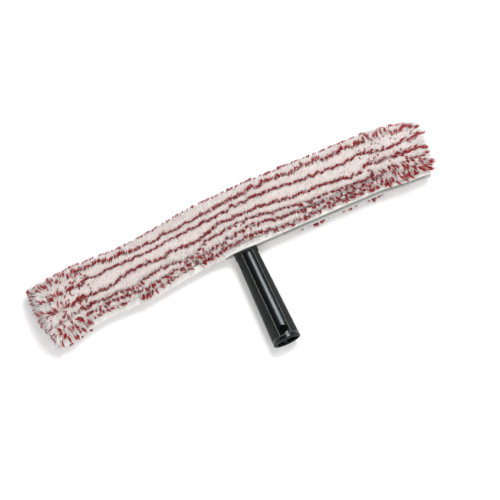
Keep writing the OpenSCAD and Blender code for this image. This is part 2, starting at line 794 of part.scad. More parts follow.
// Pile over the closed end, swelling out from the sleeve's outline
module closed_end_pile() {
  us = concat(
    [pile_start, fold_y, mix(fold_y, arc_y, 0.5)],
    [for (k = [0 : 4]) mix(arc_y, back_u, k / 5)]
  );
  upper = [for (u = us) face(u, sewn_lip_z) + height(u, pile_height) * pile_way(u)];
  lower = [for (k = [1 : len(us)]) let (u = us[len(us) - k],
    p = face(u, sewn_lip_z) + height(u, bottom_height) * pile_way(u)) [p[0], -p[1]]];
  outline = concat(upper, [[arc_y + outer_half + back_height, 0]], lower);
  middle_y = (pile_start + arc_y) / 2;
  n = len(outline);
  rings = [[0, 1], [0.45, 0.95], [0.8, 0.8], [1, 0.55]];
  x0 = -sleeve_half - skin_gap;
  points = [for (r = rings) for (p = outline)
    [x0 - r[0] * closed_end_length, middle_y + (p[0] - middle_y) * r[1] + sag(-sleeve_half), p[1] * r[1]]];
  last = len(rings) - 1;
  walls = [for (j = [0 : last - 1]) for (i = [0 : n - 1]) let (k = (i + 1) % n) each [
    [j * n + i, (j + 1) * n + k, j * n + k],
    [j * n + i, (j + 1) * n + i, (j + 1) * n + k]
  ]];
  base = [for (i = [1 : n - 2]) [0, i, i + 1]];
  tip = [for (i = [1 : n - 2]) [last * n, last * n + i + 1, last * n + i]];
  color(pile_colour)
    at_bar() polyhedron(points = points, faces = concat(walls, base, tip));
}

module top_strands_sewn_half() color(red_colour)
  at_bar() sewn_strands(lip_and_flat_rows, pile_height, strand_rise, 1, 11);

module back_strands_sewn_half() color(red_colour)
  at_bar() {
    sewn_strands([back_row, back_u], pile_height, strand_rise, 1, 21);
    sewn_strands([back_row], bottom_height, floor_rise(back_row), -1, 31);
  }

module bottom_strands_sewn_half() color(red_colour)
  at_bar() sewn_strands(lip_and_flat_rows, bottom_height, trough_depth - 0.15, -1, 41);

module top_strands_split_half() color(red_colour)
  at_bar() straight_strands(sewn_start + skin_gap, sleeve_half, flat_row_list, pile_height,
    strand_rise, open_lip_z, 1, 51);

module back_strands_split_half() color(red_colour)
  at_bar() {
    straight_strands(sewn_start + skin_gap, sleeve_half, [back_row, back_u], pile_height,
      strand_rise, open_lip_z, 1, 61);
    straight_strands(sewn_start + skin_gap, sleeve_half, [back_row], bottom_height,
      floor_rise(back_row), open_lip_z, -1, 71);
  }

module bottom_strands_split_half() color(red_colour)
  at_bar() straight_strands(sewn_start + skin_gap, sleeve_half, flat_row_list, bottom_height,
    trough_depth - 0.15, open_lip_z, -1, 81);

function lip_rise(side) = side > 0 ? strand_rise : strand_rise / 4;

module neck_strands() color(red_colour)
  at_bar()
    for (side = [-1, 1])
      straight_strands(sewn_start + skin_gap, neck_right - skin_gap, [lip_row_u],
        side > 0 ? pile_height : bottom_height, lip_rise(side), open_lip_z, side, 91 + side);

module flap_cloth(side) color(cloth_colour)
  at_bar() backing([neck_right, sleeve_half], [tip_y, fold_y - fold_gap / 2], flap_lip_z, side);

module flap_hem(side) color(tape_colour)
  at_bar() hem(neck_right, sleeve_half, flap_lip_z, side);

module flap_stitching(side) color([0.93, 0.92, 0.9])
  at_bar() stitches(neck_right, sleeve_half, flap_lip_z, side);

module flap_pile(side) color(pile_colour)
  at_bar() lip_pile(neck_right, sleeve_half, side > 0 ? pile_height : bottom_height - flap_clearance,
    flap_lip_z, side, open_end_spread);

module flap_strands(side) color(red_colour)
  at_bar() straight_strands(neck_right, sleeve_half, [lip_row_u],
    side > 0 ? pile_height : bottom_height - flap_clearance, lip_rise(side), flap_lip_z, side,
    101 + side);

module upper_flap() flap_cloth(1);
module upper_flap_hem() flap_hem(1);
module upper_flap_stitching() flap_stitching(1);
module hook_strip() color([0.93, 0.93, 0.92]) at_bar() closure_strip(flap_lip_z, 1);
module upper_flap_pile() flap_pile(1);
module upper_flap_strands() flap_strands(1);
module lower_flap() flap_cloth(-1);
module lower_flap_hem() flap_hem(-1);
module lower_flap_stitching() flap_stitching(-1);
module loop_strip() color([0.9, 0.9, 0.89]) at_bar() closure_strip(flap_lip_z, -1);
module lower_flap_pile() flap_pile(-1);
module lower_flap_strands() flap_strands(-1);

handle();
clamp_plate();
clamp_screws();
crossbar();
left_end_cap();
right_end_cap();
sewn_backing();
split_backing();
neck_lips();
closed_end_panel();
seam_hem();
neck_hems();
seam_stitching();
top_pile_sewn_half();
back_pile_sewn_half();
bottom_pile_sewn_half();
top_pile_split_half();
back_pile_split_half();
bottom_pile_split_half();
neck_pile();
closed_end_pile();
top_strands_sewn_half();
back_strands_sewn_half();
bottom_strands_sewn_half();
top_strands_split_half();
back_strands_split_half();
bottom_strands_split_half();
neck_strands();
upper_flap();
upper_flap_hem();
upper_flap_stitching();
hook_strip();
upper_flap_pile();
upper_flap_strands();
lower_flap();
lower_flap_hem();
lower_flap_stitching();
loop_strip();
lower_flap_pile();
lower_flap_strands();
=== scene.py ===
# Window scrubber: a black T-bar in a white plush sleeve with rows of red scrub strands
import math

import bmesh
import bpy
import numpy as np
from mathutils import Matrix, Vector


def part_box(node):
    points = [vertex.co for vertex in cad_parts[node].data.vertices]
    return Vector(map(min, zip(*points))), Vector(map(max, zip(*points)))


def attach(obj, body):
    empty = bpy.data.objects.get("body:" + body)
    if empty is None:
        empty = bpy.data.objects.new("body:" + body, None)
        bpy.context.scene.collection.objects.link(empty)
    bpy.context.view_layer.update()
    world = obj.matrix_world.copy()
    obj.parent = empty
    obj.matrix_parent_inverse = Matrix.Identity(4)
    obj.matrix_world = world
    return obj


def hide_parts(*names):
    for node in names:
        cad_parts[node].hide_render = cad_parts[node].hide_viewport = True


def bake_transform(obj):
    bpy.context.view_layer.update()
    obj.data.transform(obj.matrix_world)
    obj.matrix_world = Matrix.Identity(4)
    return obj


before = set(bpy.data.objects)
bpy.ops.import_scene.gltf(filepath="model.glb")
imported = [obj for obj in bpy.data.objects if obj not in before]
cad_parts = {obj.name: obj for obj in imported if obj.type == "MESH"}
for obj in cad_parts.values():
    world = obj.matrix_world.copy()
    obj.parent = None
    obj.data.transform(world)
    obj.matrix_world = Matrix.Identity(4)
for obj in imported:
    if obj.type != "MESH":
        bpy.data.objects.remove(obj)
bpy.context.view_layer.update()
mm = 0.001


def nodeBox(node):
    low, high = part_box(node)
    return np.array(low) / mm, np.array(high) / mm


# Sleeve, in millimetres. w runs round the plush from 0 at its back line, upwards over the top and
# downwards over the underside, and u runs from the lip's edge to the back
cloth = {
    "thickness": 1.2,
    "lipWidth": 13.5,
    "sagRun": 120,
    "sagDepth": 10.5,
    "sewnLip": 0.7,  # half the gap between the lips: sewn together, round the web and on the flaps
    "neckLip": 7.0,
    "flapLip": 8.2,
    "neckOpens": (-6, 10),  # from the end of the sewn seam
    "flapsSlacken": (30, 60),
    "lipTilt": 26,  # degrees that the pile on the lips leans to the handle
    "uprightFrom": 7,  # past the lip's fold
}
barBox = nodeBox("crossbar")
backingBox = nodeBox("split_backing")
handleBox = nodeBox("handle")
barY = (barBox[0][1] + barBox[1][1]) / 2
sleeveEnd = backingBox[1][0]
seamEnd = nodeBox("seam_hem")[1][0]
flapStart = nodeBox("upper_flap")[0][0]
outerHalf = backingBox[1][2]
innerHalf = outerHalf - cloth["thickness"]
arcU = backingBox[1][1] - barY - outerHalf
tipU = nodeBox("neck_lips")[0][1] - barY
foldU = tipU + cloth["lipWidth"]
backU = arcU + outerHalf * math.pi / 2
floorZ = handleBox[0][2]
mouthRadius = -floorZ
tubeEnd = barY + tipU - 1.9

# The sleeve isn't quite straight: how far its back and its front edge stray along y, as points x, y,
# and between which distances from the back line the one fades and the other grows
straying = {
    "back": [(-222, -7), (-205, -4), (-185, -2), (-150, -2.5), (-130, -4), (-60, -4), (-20, -2.5),
             (25, -0.5), (100, -1), (140, -1.5), (170, -1.5), (188, -3), (206, -7), (222, -13)],
    "front": [(-222, -9), (-205, -6.5), (-185, -1), (-160, 2), (-140, 2), (-110, 0), (150, 0.5),
              (165, 0.5), (190, -2.5), (222, -4)],
    "backFades": (8, 34),
    "frontGrows": (20, 52),
}


def ramp(value, span):
    # rises smoothly from 0 at the first end of the span to 1 at the second
    t = np.clip((value - span[0]) / (span[1] - span[0]), 0, 1)
    return t * t * (3 - 2 * t)


def mix(a, b, t):
    return a + (b - a) * t


def ripple(a, b, size, seed):
    # seeded smooth waves over a surface, about size long and mostly from -1 to 1
    rng = np.random.default_rng(seed)
    count, level = 7, 2.6
    turns = rng.uniform(0, 2 * math.pi, count)
    phases = rng.uniform(0, 2 * math.pi, count)
    total = 0
    for turn, phase, stretch in zip(turns, phases, rng.uniform(0.6, 1.6, count)):
        along = a * math.cos(turn) + b * math.sin(turn)
        total = total + np.sin(along * 2 * math.pi / (size * stretch) + phase)
    return total / level


def sag(x):
    # the sewn half hangs towards the handle side
    return -cloth["sagDepth"] * ramp(seamEnd - x, (0, cloth["sagRun"]))


def stray(x, w):
    behind = 1 - ramp(np.abs(w), straying["backFades"])
    before = ramp(np.abs(w), straying["frontGrows"])
    backShift, frontShift = (np.interp(x, *zip(*straying[side])) for side in ("back", "front"))
    return sag(x) + behind * backShift + before * frontShift


def lipHeight(x):
    # half the opening between the lips, which parts from left to right
    opened = mix(cloth["sewnLip"], cloth["neckLip"], ramp(x - seamEnd, cloth["neckOpens"]))
    return mix(opened, cloth["flapLip"], ramp(x, cloth["flapsSlacken"]))


def facePoint(x, u):
    # outer face of the backing, as distance from the bar's centre line and height
    lip = mix(innerHalf, lipHeight(x) - cloth["thickness"] / 2, (foldU - u) / cloth["lipWidth"])
    angle = np.clip((u - arcU) / outerHalf, 0, None)
    y = np.where(u < arcU, u, arcU + outerHalf * np.sin(angle))
    z = np.where(u < foldU, lip + cloth["thickness"], outerHalf * np.cos(angle))
    return y, z


def leanAngle(u):
    # lean of the pile from straight up: over the lips to the handle, round the back outwards
    upright = foldU + cloth["uprightFrom"]
    lipLean = -math.radians(cloth["lipTilt"]) * ramp(upright - u, (0, upright - tipU))
    return np.where(u < arcU, lipLean, (u - arcU) / outerHalf)


def surfacePoint(x, w, h):
    # place at height h over the backing, in millimetres, as rows of x, y, z
    x, w, h = np.broadcast_arrays(np.asarray(x, float), w, h)
    u = backU - np.abs(w)
    y, z = facePoint(x, u)
    lean = leanAngle(u)
    y = y + h * np.sin(lean) + stray(x, w) + barY
    z = (z + h * np.cos(lean)) * np.where(w >= 0, 1, -1)
    return np.stack([x, y, z], -1)


# Plush, in millimetres: its height over the top, the underside and the back, and how that varies
plush = {
    "top": 7.4,
    "bottom": 5.1,
    "back": 6.1,
    "lipDrop": 1.6,
    "bareLip": 5.6,
    "crown": 0.7,
    "crownRises": (1, 5),  # distance from a red row
    "bedShare": 0.8,  # height of the matted part of the pile
    "partingHalf": 1.9,
    "partingDepth": 0.5,
    "foldHalf": 2.2,
    "foldDepth": 0.6,
    "rim": 2.5,
    "floorGap": 0.25,
}
lipBodies = {"upper_flap": 1, "lower_flap": -1}  # and the side of the section that each is on
lipW = backU - foldU
arcW = backU - arcU
edgeW = backU - (tipU + plush["bareLip"])
ends = {"sewn": (-sleeveEnd, seamEnd), "split": (seamEnd, sleeveEnd)}
stretches = {"top": (arcW, edgeW), "back": (-arcW, arcW), "bottom": (-edgeW, -arcW)}


def lipName(body):
    return body.replace("flap", "lip")


def lipRanges(outer):
    # the stretch of w on each open lip, from its fold out to w = outer
    return [(body, (lipW, outer) if side > 0 else (-outer, -lipW)) for body, side in lipBodies.items()]


def plushHeight(w):
    u = backU - np.abs(w)
    flat = np.where(w >= 0, plush["top"], plush["bottom"])
    bend = np.clip((u - arcU) / (backU - arcU), 0, 1) ** 2
    drop = plush["lipDrop"] * np.clip((foldU - u) / (foldU - tipU - 5), 0, 1) ** 2
    return mix(flat, plush["back"], bend) - drop


def crownHeight(away):
    # the pile swells between two rows
    return plush["crown"] * ramp(away, plush["crownRises"])


# Red rows, each a line of points x, w. They wander as on a sleeve that has been used and combed
rowLines = {
    "back": [(-222, 4), (222, 4)],
    "shoulder": [(-222, 13), (-145, 13), (-105, 15), (-90, 18), (-75, 16.5), (-50, 18.5), (0, 16),
                 (30, 14), (222, 14)],
    "upper": [(-222, 29), (-178, 28), (-172, 23), (-157, 26.5), (-144, 23), (-129, 23.5), (-100, 26.5),
              (-52, 28.5), (-17, 28), (10, 24), (50, 23.5), (85, 27), (145, 28.5), (152, 25), (180, 31),
              (222, 30)],
    "middle": [(-222, 39), (-170, 43), (-154, 45), (-141, 42), (-126, 37), (-106, 37), (-90, 42),
               (-75, 40), (-53, 44), (-36, 42), (-15, 36), (30, 36), (65, 41), (110, 42.5), (148, 47),
               (155, 40), (222, 42)],
    "lower": [(-222, 50), (-168, 53), (-130, 54), (-117, 51), (-98, 49), (-68, 54), (-50, 54), (-36, 48),
              (0, 44), (34, 45), (62, 49), (100, 53), (150, 54), (180, 50), (222, 51)],
    "fold": [(-222, 58), (-60, 59), (-36, 58), (-15, 55), (10, 52), (38, 54), (70, 57), (110, 59.5),
             (222, 58)],
    "lip": [(-222, 64), (-60, 64.5), (-20, 61.5), (20, 60.5), (42, 64), (150, 64.2), (222, 63.4)],
}
underRows = [-12, -21.5, -31, -40, -48.5, -56, -62.5]
underNames = [f"under{i}" for i in range(len(underRows))]


def rowPath(line, x, seed):
    # the wander along a row is uneven, with short zigzags from tuft to tuft
    even = np.interp(x, *zip(*line))
    return even + 0.45 * ripple(x, 0 * x, 22, seed) + 0.75 * ripple(x, 0 * x, 8, seed + 50)


def allRows():
    # name of each row, and its w as a function of x
    rows = []
    for i, (name, line) in enumerate(rowLines.items()):
        rows.append((name, lambda x, line=line, i=i: rowPath(line, x, 40 + i)))
    for i, (name, middle) in enumerate(zip(underNames, underRows)):
        rows.append((name, lambda x, middle=middle, i=i: middle + 1.1 * ripple(x, 0 * x, 40, 60 + i)))
    return rows


redRows = allRows()


def rowDistance(x, w):
    # signed distance to the nearest red row
    away = np.stack([w - row(x) for _, row in redRows])
    nearest = np.abs(away).argmin(0)
    return np.take_along_axis(away, nearest[None], 0)[0]


def bedHeight(x, w):
    # matted part of the pile: it sinks into each parting and into the fold of an open lip
    away = np.abs(rowDistance(x, w))
    inRow = 1 - ramp(away, (0, plush["partingHalf"]))
    lumps = 0.5 * ripple(x, w, 9, 3) + 0.35 * ripple(x, w, 4.2, 4)
    level = plushHeight(w) * plush["bedShare"] + crownHeight(away) + lumps
    level = level * (1 - plush["partingDepth"] * inRow)
    foldDip = 1 - ramp(np.abs(lipW - np.abs(w)), (0, plush["foldHalf"]))
    level = level * (1 - plush["foldDepth"] * foldDip * ramp(x - flapStart, (-10, 10)))
    rim = ramp(edgeW - np.abs(w), (0, plush["rim"]))
    level = 0.5 + (level - 0.5) * rim * (1 - 0.8 * inCleft(x, w))
    return np.minimum(level, plushRoom(x, w))


def plushRoom(x, w):
    # height at which the pile would reach the floor, far for the upper side
    low = surfacePoint(x, w, 0)[..., 2]
    down = np.cos(leanAngle(backU - np.abs(w)))
    under = (low - floorZ - plush["floorGap"]) / np.maximum(down, 0.05)
    return np.where(w < 0, np.maximum(under, 0.3), 50)


# Where the pile parts and fans out, as x and w of the middle: over both ends, and a cleft by the handle
fans = [
    {"at": (-203, 44), "grows": (-165, -195), "reach": 3.4},
    {"at": (186, 30), "grows": (150, 185), "reach": 2.8},
]
cleft = {"at": (-54, 63.5), "size": (2.6, 3.6), "pushed": (7, 9), "push": 2.6, "bare": 0.3}


def fanOut(x, w):
    # how far the tips are pushed along the bar and across it by the fans and the cleft
    dx, dw = 0 * x, 0 * x
    for fan in fans:
        away, across = x - fan["at"][0], np.abs(w) - fan["at"][1]
        far = np.maximum(np.hypot(away, across), 7)
        share = ramp(x, fan["grows"]) * fan["reach"]
        dx, dw = dx + share * away / far, dw + share * across / far
    away, across = x - cleft["at"][0], w - cleft["at"][1]
    near = inCleft(x, w, cleft["pushed"]) * cleft["push"]
    return dx + near * np.sign(away), (dw + 0.5 * near * np.sign(across)) * np.where(w >= 0, 1, -1)


def inCleft(x, w, size=cleft["size"]):
    away, across = (x - cleft["at"][0]) / size[0], (w - cleft["at"][1]) / size[1]
    return np.exp(-(away**2) - across**2)


# How far the pile spreads over the sleeve's two ends, and how much less at their front corners
endSpreads = [
    {"side": 1, "reach": 9, "run": 20, "cornerLoss": 0.35},
    {"side": -1, "reach": 6.5, "run": 16, "cornerLoss": 0.8},
]


def frontCorner(w):
    return ramp(np.abs(w), (40, 60))


def endSpread(x, w, h):
    total = 0
    for end in endSpreads:
        share = ramp(end["side"] * x - sleeveEnd, (-end["run"], 0))
        share = share * (1 - end["cornerLoss"] * frontCorner(w))
        total = total + end["side"] * end["reach"] * share
    return total * h / plush["top"]


def addObject(name, data):
    made = bpy.data.objects.new(name, data)
    bpy.context.scene.collection.objects.link(made)
    return made


def finishMesh(name, bm, smoothFaces=True):
    mesh = bpy.data.meshes.new(name)
    bm.to_mesh(mesh)
    bm.free()
    mesh.polygons.foreach_set("use_smooth", [smoothFaces] * len(mesh.polygons))
    return addObject(name, mesh)


def surfaceSheet(name, xs, ws, shape, outward=True, depth=None):
    # a grid laid over the sleeve: xs and ws are its stations, shape gives the points, depth an attribute
    # of painted shade
    bm = bmesh.new()
    bmesh.ops.create_grid(bm, x_segments=len(xs) - 1, y_segments=len(ws) - 1, size=0.5)
    flat = np.array([v.co for v in bm.verts])
    x = np.interp(flat[:, 0] + 0.5, np.linspace(0, 1, len(xs)), xs)
    w = np.interp(flat[:, 1] + 0.5, np.linspace(0, 1, len(ws)), ws)
    points = shape(x, w) * mm
    uvs = bm.loops.layers.uv.new("weave")
    for v, co in zip(bm.verts, points):
        v.co = co
    for face in bm.faces:
        for loop in face.loops:
            i = loop.vert.index
            loop[uvs].uv = (x[i] * mm, w[i] * mm)
    if depth:
        layer = bm.verts.layers.float.new("paintedShade")
        for v, value in zip(bm.verts, depth(x, w)):
            v[layer] = value
    if outward:
        bmesh.ops.reverse_faces(bm, faces=bm.faces[:])
    return finishMesh(name, bm)


def thicken(piece, thickness, offset=-1):
    wall = piece.modifiers.new("wall", "SOLIDIFY")
    wall.thickness = thickness * mm
    wall.offset = offset
    wall.use_even_offset = True
    return piece


def srgb(r, g, b):
    # a colour as seen on screen, from 0 to 255, turned into what the shader takes
    parts = [c / 255 for c in (r, g, b)]
    return tuple(c / 12.92 if c <= 0.04045 else ((c + 0.055) / 1.055) ** 2.4 for c in parts) + (1,)


def newMaterial(name, **sockets):
    made = bpy.data.materials.new(name)
    made.use_nodes = True
    shader = made.node_tree.nodes["Principled BSDF"]
    for socket, value in sockets.items():
        shader.inputs[socket.replace("_", " ")].default_value = value
    return made, made.node_tree, shader


def addNode(tree, kind, sockets=None, **settings):
    made = tree.nodes.new("ShaderNode" + kind)
    for key, value in settings.items():
        setattr(made, key, value)
    for key, value in (sockets or {}).items():
        if isinstance(value, bpy.types.NodeSocket):
            tree.links.new(value, made.inputs[key])
        else:
            made.inputs[key].default_value = value
    return made


def feed(tree, shader, **sockets):
    for socket, value in sockets.items():
        tree.links.new(value, shader.inputs[socket.replace("_", " ")])


def mathNode(tree, operation, *values):
    return addNode(tree, "Math", dict(enumerate(values)), operation=operation).outputs[0]


def mixColours(tree, share, first, second):
    return addNode(tree, "Mix", {0: share, 6: first, 7: second}, data_type="RGBA").outputs[2]


def noiseOn(tree, place, scale, detail=3.0, roughness=0.55):
    sockets = {"Vector": place, "Scale": scale, "Detail": detail, "Roughness": roughness}
    return addNode(tree, "TexNoise", sockets).outputs["Fac"]


def objectPlace(tree):
    return addNode(tree, "TexCoord").outputs["Object"]


def bumpFrom(tree, height, distance):
    return addNode(tree, "Bump", {"Height": height, "Distance": distance * mm}).outputs["Normal"]


def between(tree, value, low, high):
    # 1 where the value, in metres, lies between two places in millimetres
    above = mathNode(tree, "GREATER_THAN", value, low * mm)
    return mathNode(tree, "MULTIPLY", above, mathNode(tree, "LESS_THAN", value, high * mm))


# Handle plastic: polished on a strip along the top and on the collar, grained elsewhere
handleLook = {
    "grained": srgb(24, 25, 18),
    "grainedDark": srgb(6, 7, 4),
    "polished": srgb(3, 4, 5),
    "specular": 0.42,
    "tint": (0.88, 0.95, 1, 1),
    "grainedRough": (0.2, 0.6),  # how much the scuffs add, and the least
    "polishedRough": (0.08, 0.2),
    "strip": {"half": 6.2, "start": 5.6, "height": 9},
    "collar": (1.6, 5.3),
    "grainSize": 1.1,
    "grainDepth": 0.12,
}


def handlePlastic():
    made, tree, shader = newMaterial(
        "handlePlastic", Specular_IOR_Level=handleLook["specular"], Specular_Tint=handleLook["tint"]
    )
    place = objectPlace(tree)
    axes = addNode(tree, "SeparateXYZ", {0: place}).outputs
    strip = handleLook["strip"]
    polished = between(tree, axes[0], -strip["half"], strip["half"])
    for axis, low in ((2, strip["height"]), (1, strip["start"])):
        beyond = mathNode(tree, "GREATER_THAN", axes[axis], low * mm)
        polished = mathNode(tree, "MULTIPLY", polished, beyond)
    polished = mathNode(tree, "MAXIMUM", polished, between(tree, axes[1], *handleLook["collar"]))
    cloud = noiseOn(tree, place, 120, 3)
    sides = mixColours(tree, cloud, handleLook["grainedDark"], handleLook["grained"])
    scuffs = noiseOn(tree, place, 60, 4)
    rough = mathNode(tree, "MULTIPLY_ADD", scuffs, *handleLook["grainedRough"])
    polishedRough = mathNode(tree, "MULTIPLY_ADD", scuffs, *handleLook["polishedRough"])
    grain = noiseOn(tree, place, 1 / (handleLook["grainSize"] * mm), 2)
    height = mathNode(tree, "MULTIPLY", grain, mathNode(tree, "SUBTRACT", 1.0, polished))
    feed(
        tree, shader,
        Base_Color=mixColours(tree, polished, sides, handleLook["polished"]),
        Roughness=addNode(tree, "Mix", {0: polished, 2: rough, 3: polishedRough}).outputs[0],
        Normal=bumpFrom(tree, height, handleLook["grainDepth"]),
    )
    return made


def grainedPlastic(name, colour, grain, roughness):
    made, tree, shader = newMaterial(name)
    place = objectPlace(tree)
    cloud = noiseOn(tree, place, 90, 4)
    dark = tuple(c * 0.6 for c in colour[:3]) + (1,)
    feed(
        tree, shader,
        Base_Color=mixColours(tree, cloud, dark, colour),
        Roughness=mathNode(tree, "MULTIPLY_ADD", cloud, 0.2, roughness - 0.1),
        Normal=bumpFrom(tree, noiseOn(tree, place, 1 / (grain * mm), 2), 0.06),
    )
    return made


def screwSteel():
    made, tree, shader = newMaterial("screwSteel", Metallic=1.0)
    cloud = noiseOn(tree, objectPlace(tree), 700, 4)
    feed(
        tree, shader,
        Base_Color=mixColours(tree, cloud, srgb(150, 151, 153), srgb(200, 201, 202)),
        Roughness=mathNode(tree, "MULTIPLY_ADD", cloud, 0.25, 0.2),
    )
    return made


def strandMaterial(name, root, dark, light, roughness, sheen):
    # colour runs along each strand, darkening to its root colour as painted shade towards the base, and
    # differs from one strand to the next
    made, tree, shader = newMaterial(name, Roughness=roughness, Sheen_Weight=sheen, Sheen_Roughness=0.5)
    shade = addNode(tree, "Attribute", attribute_name="shade").outputs["Fac"]
    along = addNode(tree, "Attribute", attribute_name="along").outputs["Fac"]
    fibre = mixColours(tree, shade, dark, light)
    # painted shade: the lower part of each strand takes the darker root colour
    rootShadeShare = mathNode(tree, "SUBTRACT", 1.0, mathNode(tree, "POWER", along, 0.4))
    feed(tree, shader, Base_Color=mixColours(tree, rootShadeShare, fibre, root))
    return made


def beddingMaterial():
    # pale patches with pinkish specks between the fibres, partly painted shade low in the pile, and dark
    # painted shade where the pile parts and in the cleft
    made, tree, shader = newMaterial("mattedPile", Roughness=0.9, Sheen_Weight=0.25)
    place = objectPlace(tree)
    fine = noiseOn(tree, place, 900, 3, 0.7)
    patches = noiseOn(tree, place, 120, 3)
    # the bed's tone is a little darker and pinker than the strand tips: the matted fibres' own colour,
    # and partly painted shade low in the pile
    colour = mixColours(tree, patches, srgb(224, 209, 204), srgb(241, 235, 231))
    colour = mixColours(tree, mathNode(tree, "MULTIPLY", fine, 0.4), colour, srgb(194, 165, 159))
    paintedShade = addNode(tree, "Attribute", attribute_name="paintedShade").outputs["Fac"]
    # painted shade: the bed turns dark brown in the partings between rows and in the cleft
    colour = mixColours(tree, paintedShade, colour, srgb(104, 70, 60))
    feed(tree, shader, Base_Color=colour, Normal=bumpFrom(tree, fine, 0.8))
    return made


def wovenMaterial(name, light, dark, thread, height):
    # plain weave that follows the piece's own map: width and relief of a thread in millimetres
    made, tree, shader = newMaterial(name, Roughness=0.85, Sheen_Weight=0.2)
    place = addNode(tree, "UVMap", uv_map="weave").outputs[0]
    axes = addNode(tree, "SeparateXYZ", {0: place}).outputs
    turn = math.pi / (thread * mm)
    warp = mathNode(tree, "SINE", mathNode(tree, "MULTIPLY", axes[0], turn))
    weft = mathNode(tree, "SINE", mathNode(tree, "MULTIPLY", axes[1], turn))
    cross = mathNode(tree, "MULTIPLY_ADD", mathNode(tree, "MULTIPLY", warp, weft), 0.5, 0.5)
    patches = noiseOn(tree, objectPlace(tree), 160, 4)
    shade = mathNode(tree, "MULTIPLY_ADD", cross, 0.35, mathNode(tree, "MULTIPLY", patches, 0.6))
    colour = mixColours(tree, shade, dark, light)
    feed(tree, shader, Base_Color=colour, Normal=bumpFrom(tree, cross, height))
    return made


# Strands, by the colour of their roots (painted shade towards the base), of the darkest and of the
# palest, their roughness and sheen
strandLooks = {
    "white": ("whitePile", (222, 196, 190), (247, 241, 238), (255, 254, 253), 0.7, 0.4),
    "red": ("redStrands", (104, 10, 14), (142, 14, 20), (206, 44, 46), 0.45, 0.1),
    "thread": ("stitchThread", (214, 210, 204), (226, 223, 218), (244, 242, 238), 0.6, 0.1),
    "hooks": ("hookTape", (206, 206, 203), (216, 216, 213), (234, 234, 231), 0.4, 0.0),
    "loops": ("loopTape", (200, 197, 191), (212, 209, 203), (232, 230, 226), 0.8, 0.2),
}
looks = {
    "handle": handlePlastic(),
    "clamp": grainedPlastic("mouldedPlastic", srgb(46, 46, 48), 0.8, 0.5),
    "bar": grainedPlastic("barPlastic", srgb(52, 53, 55), 0.9, 0.55),
    "steel": screwSteel(),
    "bed": beddingMaterial(),
    "backing": wovenMaterial("backingCloth", srgb(240, 236, 230), srgb(204, 198, 190), 0.8, 0.15),
    "tape": wovenMaterial("hemTape", srgb(250, 249, 246), srgb(222, 218, 212), 0.7, 0.14),
    "closure": grainedPlastic("closureTape", srgb(216, 214, 209), 0.4, 0.7),
    # light grey on the ribs and the collar ring: painted highlight on the black plastic
    "rib": grainedPlastic("ribHighlightPaint", srgb(128, 131, 130), 0.5, 0.4),
}
for key, (name, *colours, roughness, sheen) in strandLooks.items():
    looks[key] = strandMaterial(name, *(srgb(*colour) for colour in colours), roughness, sheen)


def dress(piece, look, body, slot, *nodes):
    # finish a piece: its material, the body it moves with and the CAD nodes it stands for
    piece.data.materials.append(looks[look])
    if body in lipBodies:
        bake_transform(piece)
    else:
        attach(piece, body)
    if nodes:
        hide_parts(*nodes)
    return piece


carriedOver = {
    "handle": "handle",
    "clamp_plate": "clamp",
    "clamp_screws": "steel",
    "crossbar": "bar",
    "left_end_cap": "clamp",
    "right_end_cap": "clamp",
}
for node, look in carriedOver.items():
    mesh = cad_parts[node].data
    mesh.materials.clear()
    mesh.materials.append(looks[look])
print("T-bar dressed")


def extrudeRim(bm, rim, step):
    # draw a ring of edges out by one step, and give back its new points and edges
    grown = bmesh.ops.extrude_edge_only(bm, edges=rim)["geom"]
    verts = [g for g in grown if isinstance(g, bmesh.types.BMVert)]
    bmesh.ops.translate(bm, vec=step, verts=verts)
    return verts, [g for g in grown if isinstance(g, bmesh.types.BMEdge)]


def strandShape(profile):
    # one strand along Z, 1 high and 1 in radius at its root: a ring drawn out along its profile
    bm = bmesh.new()
    bmesh.ops.create_circle(bm, segments=3, radius=1)
    rim = bm.edges[:]
    level, radius = 0, 1
    for height, size in profile:
        verts, rim = extrudeRim(bm, rim, (0, 0, height - level))
        if size == 0:
            bmesh.ops.pointmerge(bm, verts=verts, merge_co=(0, 0, height))
            break
        bmesh.ops.scale(bm, vec=(size / radius, size / radius, 1), verts=verts)
        level, radius = height, size
    bmesh.ops.recalc_face_normals(bm, faces=bm.faces[:])
    bmesh.ops.triangulate(bm, faces=bm.faces[:])
    bm.verts.index_update()
    points = np.array([v.co for v in bm.verts])
    corners = np.array([[v.index for v in f.verts] for f in bm.faces])
    bm.free()
    return points, corners


whiteShape = strandShape([(0.45, 0.85), (0.8, 0.55), (1, 0)])
redShape = strandShape([(0.5, 0.95), (0.88, 0.8), (1, 0.3)])
stubShape = strandShape([(0.5, 0.95), (1, 0.6)])


